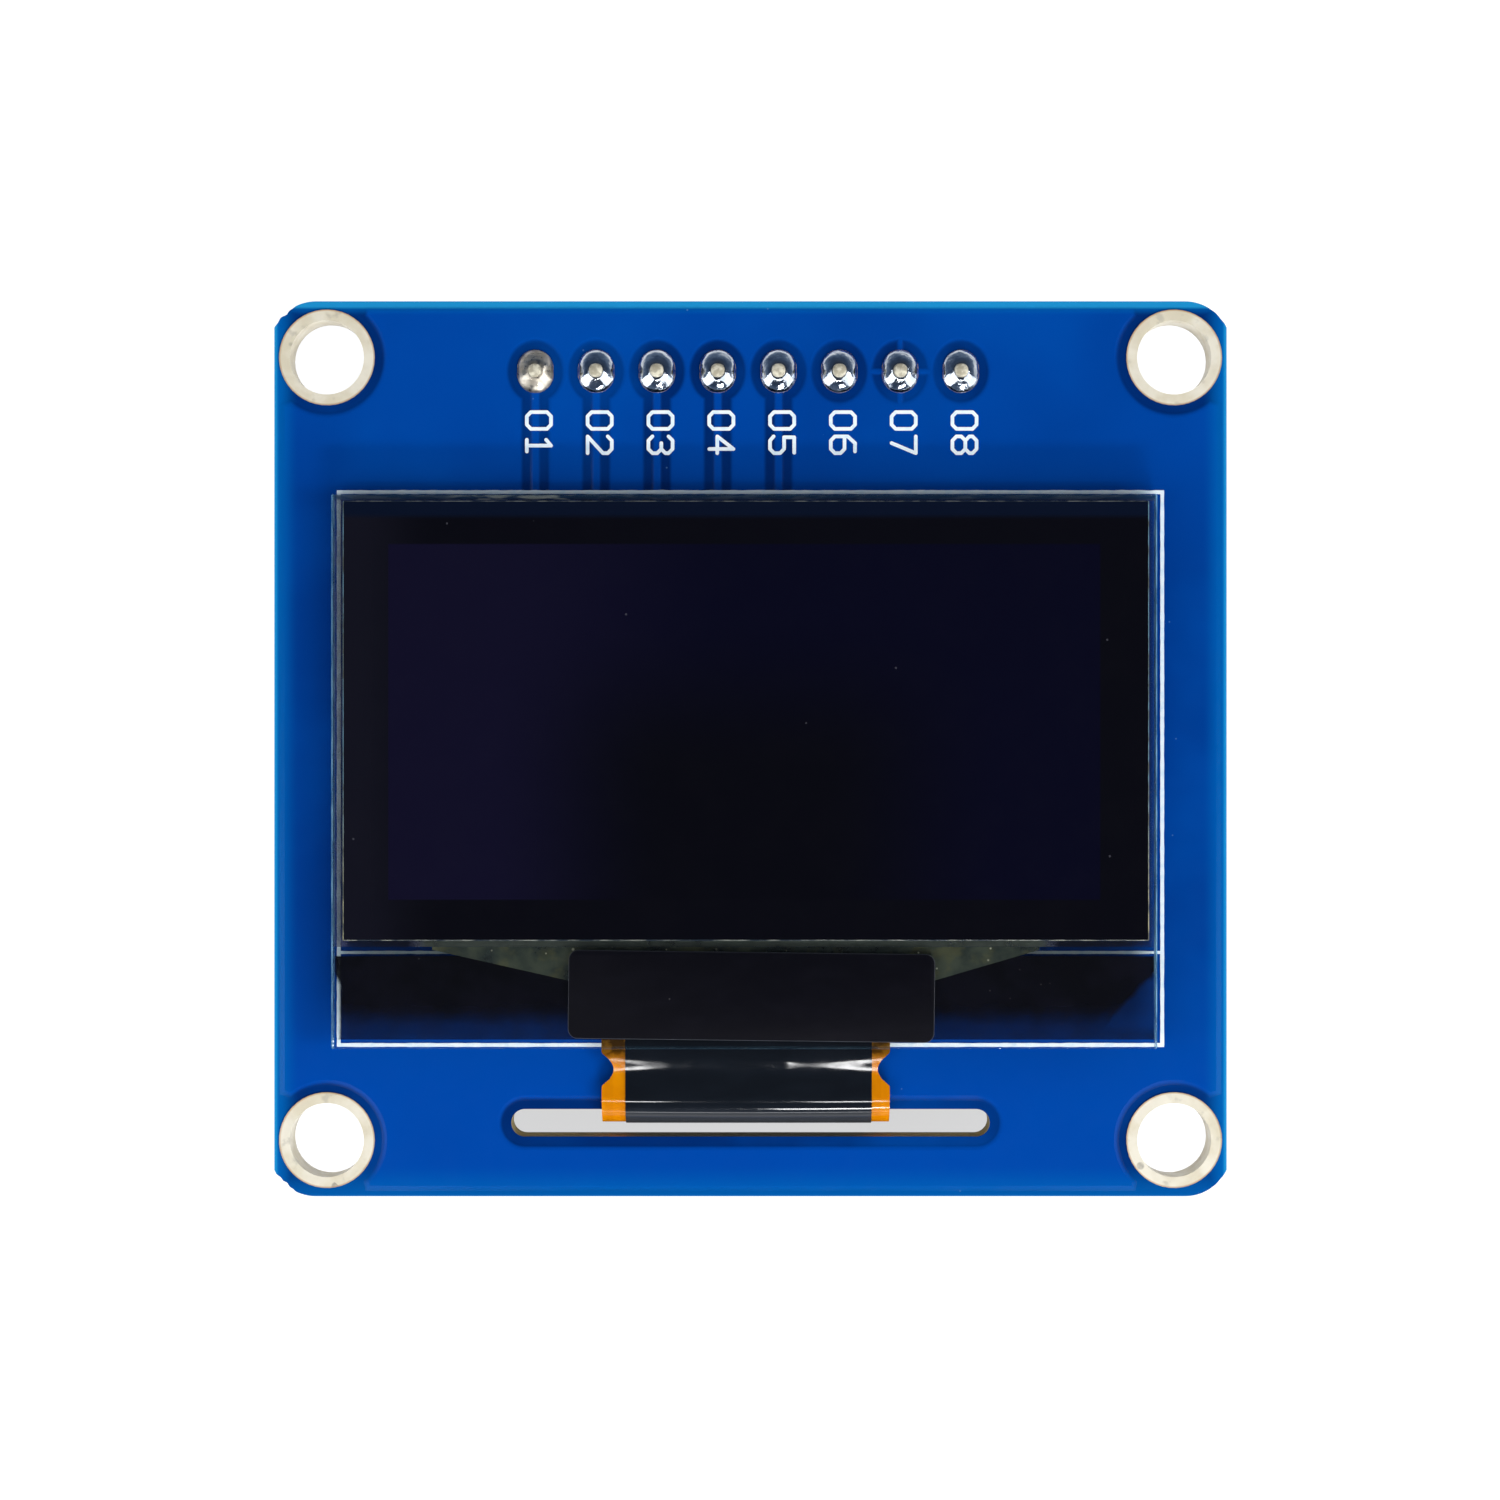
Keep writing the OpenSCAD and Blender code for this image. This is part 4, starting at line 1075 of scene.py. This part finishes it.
def film_path(start):
    """Middle line of the film as (y, z), from y = start on the ledge to the soldered end."""
    spacing = 0.07
    low = REAR_Z - REAR_R
    dip = DIP_START - DIP_END
    path = [
        (y, Z_BOND - FILM_DIP * ease((DIP_START - y) / dip))
        for y in [start] + between(start, DIP_END, int((start - DIP_END) / spacing))
    ]
    path += [(y, Z_BOND - FILM_DIP) for y in between(DIP_END, BEND_Y, int((DIP_END - BEND_Y) / spacing))[:-1]]
    path += bend(BEND_Y, BEND_Z, BEND_R, 1, 30)
    path += [(FILM_Y, z) for z in between(BEND_Z, REAR_Z, 8)[:-1]]
    path += bend(REAR_Y, REAR_Z, REAR_R, 2, 20)
    path += [(y, low) for y in between(REAR_Y, SLOPE_Y, 12)]
    for t in between(0, 1, 18):
        path.append((SLOPE_Y + (SOLDER_Y - SLOPE_Y) * t, low + (-FILM_T / 2 - low) * ease(t)))
    return path + [(y, -FILM_T / 2) for y in between(SOLDER_Y, TAIL_TIP, 6)]


def notch_depth(y):
    """How far a notch cuts into the neck's side at y: a half round within a shallow step."""
    reach, step, slope = 0.7, 0.35, 0.3
    d = abs(y - NOTCH_Y)
    if d >= reach:
        return 0.0
    lip = step * min(1, (reach - d) / slope)
    return max(lip, math.sqrt(max(0, NOTCH_R**2 - d * d)))


def flare(y, wider, length):
    """Extra half width of the tail, which opens evenly over that length."""
    return wider * min(1, max(0, (y - REAR_Y) / length))


def film_sides(y, z):
    """The film's side edges at a point of its path."""
    half = NECK_W / 2 + (-notch_depth(y) if z > BOARD_T / 2 else flare(y, 3.5, 1.4))
    return NECK_X - half, NECK_X + half


def cover_sides(y, z):
    """The same for the cover layer."""
    half = COVER_W / 2 + (flare(y, 4.12, 1.65) if z < BOARD_T / 2 else 0)
    return NECK_X + COVER_SHIFT - half, NECK_X + COVER_SHIFT + half


def sway(x, y, z):
    """Small lift of the free film off its ideal path: it sags more towards its sides, with a soft crease."""
    if z < BEND_Z or y > DIP_START:
        return 0.0
    free = ease((DIP_START - y) / 1.2) * ease((z - BEND_Z) / 0.9)
    side = (x - NECK_X) / 5.5
    crease = math.exp(-abs(x - 1.4) / 0.5) * math.exp(-(((y + 12.95) / 0.25) ** 2))
    return free * (0.03 - 0.053 * side * side) + 0.018 * crease


def band(path, inner, outer, sides):
    """A strip along a path between two offsets, positive on the outer side."""
    columns = 48
    rings = []
    for i, (y, z) in enumerate(path):
        ahead, back = path[min(i + 1, len(path) - 1)], path[max(i - 1, 0)]
        way = Vector((ahead[0] - back[0], ahead[1] - back[1])).normalized()
        left, right = sides(y, z)
        xs = [left + (right - left) * j / columns for j in range(columns + 1)]
        ring = []
        for offset, row in ((outer, xs), (inner, xs[::-1])):
            for x in row:
                lift = offset + sway(x, y, z)
                ring.append((x, y + way.y * lift, z - way.x * lift))
        rings.append(ring)
    mesh = Mesh().loft(rings, caps=False)
    last = 2 * columns + 1
    end = [(j, j + 1, last - 1 - j, last - j) for j in range(columns)]
    return mesh.add(rings[0], end).add(rings[-1], end)


def build_flex():
    half = FILM_T / 2
    film = band(film_path(GLASS_LOW.y + 1.9), -half, half, film_sides)
    show("amber_film", film, POLYIMIDE, ["flex_film"], smooth=50)
    path = [p for p in film_path(GLASS_LOW.y + 0.7) if p[1] >= 0 or p[0] <= SOLDER_Y - 0.25]
    cover = band(path, half, half + COVER_T, cover_sides)
    show("cover_film", cover, COVER, ["flex_cover"], smooth=50)


build_flex()


# ---------------------------------------------------------------- parts on the rear face

CHIP_L, CHIP_W, TERMINAL_L, FILLET_L = 1.6, 0.8, 0.35, 0.3
CAPACITORS = [f"capacitor_{i}" for i in range(1, 9)]
RESISTORS = [f"resistor_{i}" for i in range(1, 6)]
CONTACT_PITCH, CONTACT_W, CONTACT_COUNT = 0.62, 0.34, 30
LEADS = (0, 1), (-0.95, -1), (0.95, -1)  # the regulator's leads: x, and on which side they leave it
REAR_TRACK_W = 0.2
CHIP_PAD, LEAD_PAD, CONTACT_PAD = (1.0, 0.82), (0.75, 0.9), (0.4, 2.3)  # widths and lengths
CHIP_PAD_Y = 0.83  # from a chip part's middle
FRAME_X, FRAME_Y, FRAME_SIDE, FRAME_GAP = 0.72, 1.31, 1.25, 0.3  # half sizes of the print round a chip part
BARE_LOW, BARE_HIGH = Vector((-9.95, -11.2)), Vector((9.55, 6.6))  # area without the copper plane


def contact_x(k):
    return NECK_X + (k - (CONTACT_COUNT + 1) / 2) * CONTACT_PITCH


def track_ends(node):
    """Where a track meets the upper and the lower pad of a chip part."""
    return middle(node).y + 0.55, middle(node).y - 0.55


def rear_routes():
    """Tracks on the rear face, each from a header pin or a part's pad to a part or a contact of the film."""
    pins = [pin.x for pin in PINS]
    top = PINS[0].y
    chip_x = [middle(node).x for node in RESISTORS]
    cap_x = [middle(node).x for node in CAPACITORS]
    upper, lower = track_ends("resistor_1")
    cap_upper, cap_lower = track_ends("capacitor_1")
    contact = TAIL_TIP + 0.3
    routes = [
        [(pins[0], top), (pins[0], -7.3), (contact_x(2), -7.72), (contact_x(2), contact)],
        [(pins[1], top), (pins[1], 1.25), (chip_x[0], 0.6), (chip_x[0], upper)],
        [(pins[2], top), (pins[2], 6.2), (-4.75, 5.36), (-4.75, 1.6), (chip_x[1] - 0.1, upper)],
        [(pins[3], top), (pins[3], 6.3), (-2.5, 5.17), (-2.5, 1.0), (-1.45, -0.05), (-1.45, cap_upper)],
        [(pins[4], top), (pins[4], 6.3), (2.5, 4.97), (2.5, 1.9), (chip_x[2] + 0.1, upper)],
        [(pins[5], top), (pins[5], 6.2), (4.75, 5.16), (4.75, 1.6), (chip_x[3] + 0.1, upper)],
        [(pins[7], top), (pins[7], 2.9), (chip_x[4] + 0.1, upper)],
    ]
    to_contacts = [(x, lower, -6.9, k) for x, k in zip(chip_x, (6, 11, 16, 21, 25))]
    to_contacts += [(x, cap_lower, -6.5, k) for x, k in zip(cap_x, (4, 9, 14, 18, 23, 28))]
    for x, start, turn, k in to_contacts:
        end = contact_x(k)
        routes.append([(x, start), (x, turn), (end, turn - abs(x - end)), (end, contact)])
    return routes


def rear_vias():
    """Places where tracks pass through the board, each with the pad that a short track joins to it."""
    cap_upper, _ = track_ends("capacitor_1")
    columns = [middle(f"capacitor_{i}").x for i in (1, 2, 4, 5, 6)]
    vias = [((x, cap_upper + 1.5), (x, cap_upper)) for x in columns]
    y = middle("regulator_body").y
    vias += [((x, y + side * 2.2), (x, y + side * 1.1)) for x, side in LEADS]
    for side in (-1, 1):
        x = side * abs(middle("capacitor_7").x)
        vias += [((x, y + 2.0), (x, y + 0.6)), ((x, y - 1.9), (x, y - 0.6))]
    return vias


def build_rear_copper():
    """A plane round the parts, their tracks and vias."""
    area = [(BARE_LOW.x, BARE_LOW.y), (BARE_HIGH.x, BARE_LOW.y), (BARE_HIGH.x, BARE_HIGH.y)]
    for i in (7, 5, 4, 3, 2, 1, 0):
        area += keyhole(PINS[i], BARE_HIGH.y)
    area.append((BARE_LOW.x, BARE_HIGH.y))
    build_copper("rear_copper", pour_outline(), [slot_outline(SLOT_GAP), area, oval(PINS[6])], 0, -1)
    tracks = Mesh()
    for route in rear_routes():
        track(tracks, route, REAR_TRACK_W, 0, -1)
    for (x, y), pad in rear_vias():
        track(tracks, [(x, y), pad], 0.3, 0, -1, 0.001)
        rings = [(0.36, 0), (0.31, 0.003 - POUR_T), (0.17, 0.003 - POUR_T), (0.11, -0.004)]
        tracks.loft([[(px, py, z) for px, py in circle(x, y, r, 24)] for r, z in rings])
    build_spokes(tracks, PINS[6], 0, -1)
    show("rear_tracks", tracks, MASK, smooth=3)


def chip_parts():
    """Middle and height of every chip part."""
    return [(middle(node), -box(node)[0].z + 0.03, node) for node in CAPACITORS + RESISTORS]


def build_rear_pads():
    """Tinned pads under the parts' solder and under the film's contacts."""
    pads = Mesh()
    level = POUR_T + 0.006
    places = []
    for centre, _, _ in chip_parts():
        places += [(centre.x, centre.y + side * CHIP_PAD_Y, *CHIP_PAD) for side in (-1, 1)]
    x, y = middle("regulator_body").x, middle("regulator_body").y
    places += [(x + dx, y + side * 1.15, *LEAD_PAD) for dx, side in LEADS]
    places += [(contact_x(k), TAIL_TIP - 0.35, *CONTACT_PAD) for k in range(1, CONTACT_COUNT + 1)]
    for x, y, w, h in places:
        pads.loft([
            [(px, py, z) for px, py in rounded(x, y, w - less, h - less, 0.06, 3)]
            for z, less in ((0, 0.0), (-level + 0.01, 0.0), (-level, 0.03))
        ])
    show("rear_pads", pads, TINNED_PADS, smooth=30)


def fillet(centre, side, height):
    """Rings of the concave solder in front of one metal end."""
    outer = CHIP_L / 2
    rings = []
    for i in range(9):
        u = -1 + i / 4
        full = (1 - abs(u) ** 5) ** 0.5 if abs(u) < 1 else 0.25
        top, reach = 0.72 * height * (0.4 + 0.6 * full), FILLET_L * (0.35 + 0.65 * full)
        ring = [(outer - 0.02, 0.0), (outer - 0.02, top)]
        for k in range(8):
            a = math.pi / 2 * k / 7
            ring.append((outer + reach * (1 - math.cos(a)), top * (1 - math.sin(a))))
        rings.append([(centre.x + u * CHIP_W / 2, centre.y + side * y, -z) for y, z in ring])
    return rings


def build_chips():
    """Chip capacitors and resistors: bodies, rounded metal ends and their solder."""
    ends, fillets = Mesh(), Mesh()
    for centre, height, node in chip_parts():
        finish, slot = (CERAMIC, "capacitor_ceramic") if node in CAPACITORS else (RESISTOR, "chip_plastic")
        show(f"{node}_body", Mesh().block(*box(node)), finish, [node], bevel=0.04)
        for side in (-1, 1):
            low, high = sorted(centre.y + side * reach for reach in (CHIP_L / 2 - TERMINAL_L, CHIP_L / 2))
            ends.block((centre.x - CHIP_W / 2, low, -height), (centre.x + CHIP_W / 2, high, -0.001))
            fillets.loft(fillet(centre, side, height))
    show("chip_metal_ends", ends, TERMINAL, ["chip_terminals"], bevel=0.05)
    show("chip_fillets", fillets, REAR_SOLDER, ["chip_solder"], smooth=50)


def build_contacts():
    """Soldered contacts of the film: long beads that run from the tail's end down to the board."""
    mesh = Mesh()
    lap, toe, rise = 1.2, 0.5, 0.1
    turns = [math.pi * j / 8 for j in range(9)]
    for k in range(1, CONTACT_COUNT + 1):
        full = random.uniform(0.85, 1.0)
        rings = []
        for i in range(15):
            t = i / 14
            y = TAIL_TIP - lap + (lap + toe) * t
            if y < TAIL_TIP:
                base = -FILM_T
                crown = FILM_T + rise * full * math.sin(math.pi * min(1, 0.15 + 0.6 * t))
            else:
                base = 0.0
                crown = (FILM_T + rise * full * 0.9) * (1 - (y - TAIL_TIP) / toe) ** 1.4
            half = CONTACT_W / 2 * (0.7 + 0.3 * math.sin(math.pi * min(1, 0.1 + t * 0.8)))
            height = max(0.003, crown + base)
            rings.append([(contact_x(k) - half * math.cos(a), y, base - height * math.sin(a)) for a in turns])
        mesh.loft(rings)
    show("contact_solder", mesh, REAR_SOLDER, ["flex_solder"], smooth=60)


def build_rear_print():
    """Frames round the parts, and the numbers of the header's first and last pin."""
    ink = Print(-POUR_T, -1)
    thin = 0.13, 0.008
    for centre, _, _ in chip_parts():
        for side in (-1, 1):
            x, y = centre.x + side * FRAME_X, centre.y + side * FRAME_Y
            ink.line((x, centre.y - FRAME_SIDE), (x, centre.y + FRAME_SIDE), *thin)
            ink.line((centre.x - FRAME_X, y), (centre.x - FRAME_GAP, y), *thin)
            ink.line((centre.x + FRAME_GAP, y), (centre.x + FRAME_X, y), *thin)
    x, y = middle("regulator_body").x, middle("regulator_body").y
    for side in (-1, 1):
        ink.line((x + side * 1.62, y - 0.75), (x + side * 1.62, y + 0.75), *thin)
    # the dot by the first lead: a stroke of almost no length
    ink.capsule(Vector((-1.75, y - 1.3)), Vector((-1.751, y - 1.3)), 0.34, *ink.heights())
    low, high = box("header_housing")
    ink.frame((low.x - 0.3, low.y - 0.3), (high.x + 0.3, high.y + 0.3), 0.15)
    for label, pin in (("1", PINS[0]), ("8", PINS[-1])):
        ink.write(label, (pin.x + DIGIT_W / 2, low.y - 1.75), (-1, 0), (0, 1))
    show("rear_print", ink, INK)


build_rear_copper()
build_rear_pads()
build_chips()
build_contacts()
build_rear_print()
finish_node(CHIP, "regulator_body")
finish_node(TERMINAL, "regulator_leads")


# ---------------------------------------------------------------- floor, light and camera


def build_floor():
    """White floor that keeps a faint shadow of the module, with a painted grey shadow right under it."""
    made = bmesh.new()
    bmesh.ops.create_grid(made, x_segments=8, y_segments=8, size=3.0)
    mesh = bpy.data.meshes.new("floor")
    made.to_mesh(mesh)
    made.free()
    f = Finish("floor")
    paper = f.surface((0.14, 0.14, 0.14), 0.9, Specular_IOR_Level=0.0)
    # painted shadow: the floor glows less right under the module
    outside_painted_shadow = f.most(f.step(f.size(f.x), 11.8, 15.0), f.step(f.size(f.y), 18.3, 20.0))
    path = f.node("ShaderNodeLightPath").outputs
    seen = f.most(path["Is Camera Ray"], path["Is Glossy Ray"], path["Is Transmission Ray"])
    strength = f.times(seen, f.step(outside_painted_shadow, 0, 1, 0.54, 0.99))
    glow = f.node("ShaderNodeEmission", Color=(1, 1, 1), Strength=strength).outputs[0]
    both = f.node("ShaderNodeAddShader")
    f.feed(both.inputs[0], paper)
    f.feed(both.inputs[1], glow)
    mesh.materials.append(f.done(both.outputs[0]))
    floor = bpy.data.objects.new("floor", mesh)
    floor.location.z = (PIN_LOW.z - 0.01) * MM
    bpy.context.scene.collection.objects.link(floor)


def light_world():
    """Bright along the horizon and dim above, so that flat glossy faces stay dark."""
    world = bpy.data.worlds.new("studio")
    world.use_nodes = True
    bpy.context.scene.world = world
    tree = world.node_tree
    tree.nodes.clear()
    way = tree.nodes.new("ShaderNodeTexCoord")
    split = tree.nodes.new("ShaderNodeSeparateXYZ")
    tree.links.new(way.outputs["Generated"], split.inputs[0])
    ramp = tree.nodes.new("ShaderNodeValToRGB")
    stops = (
        (0.0, (1.0, 1.0, 1.0)), (0.12, (0.85, 0.85, 0.85)), (0.24, (0.15, 0.2, 0.28)),
        (0.5, (0.045, 0.07, 0.12)), (1.0, (0.034, 0.04, 0.05)),
    )
    while len(ramp.color_ramp.elements) < len(stops):
        ramp.color_ramp.elements.new(0.5)
    for element, (height, colour) in zip(ramp.color_ramp.elements, stops):
        element.position = height
        element.color = (*colour, 1)
    tree.links.new(split.outputs[2], ramp.inputs[0])
    glow = tree.nodes.new("ShaderNodeBackground")
    tree.links.new(ramp.outputs[0], glow.inputs["Color"])
    out = tree.nodes.new("ShaderNodeOutputWorld")
    tree.links.new(glow.outputs[0], out.inputs[0])


def lamp(name, azimuth, zenith, across, along, radiance):
    """Soft box seen from the module in that direction. across and along are its angles, in degrees."""
    distance = 0.4
    light = bpy.data.lights.new(name, "AREA")
    light.shape = "RECTANGLE"
    light.size = 2 * distance * math.tan(math.radians(across / 2))
    light.size_y = 2 * distance * math.tan(math.radians(along / 2))
    light.energy = radiance * math.pi * light.size * light.size_y
    holder = bpy.data.objects.new(name, light)
    a, z = math.radians(azimuth), math.radians(zenith)
    way = Vector((math.sin(z) * math.cos(a), math.sin(z) * math.sin(a), math.cos(z)))
    holder.location = way * distance
    holder.rotation_euler = way.to_track_quat("Z", "Y").to_euler()
    holder.visible_camera = False
    bpy.context.scene.collection.objects.link(holder)


def build_lights():
    """Each lamp stands where one of the photo's glints or sheens asks for it."""
    light_world()
    lamp("high_right", -76, 30, 9, 3, 34.0)
    lamp("high_left", -100, 30, 3.4, 2.6, 32.0)
    lamp("middle_strip", -76, 58, 22, 4, 44.0)
    lamp("low_strip", -84, 74, 56, 3, 6.0)
    lamp("left_box", -153, 52, 40, 64, 2.1)
    lamp("right_box", -27, 52, 40, 64, 1.7)
    lamp("key", -12, 50, 18, 18, 9.0)


def build_camera():
    """Straight above the board, as the photo was taken."""
    camera = bpy.data.cameras.new("camera")
    camera.sensor_width = 36
    camera.lens = 80.4
    camera.clip_start = 0.005
    camera.clip_end = 10
    holder = bpy.data.objects.new("camera", camera)
    holder.location = (-0.021 * MM, -0.052 * MM, 141.6 * MM)
    bpy.context.scene.collection.objects.link(holder)
    bpy.context.scene.camera = holder


build_floor()
build_lights()
build_camera()
bpy.context.scene.view_settings.view_transform = "Standard"
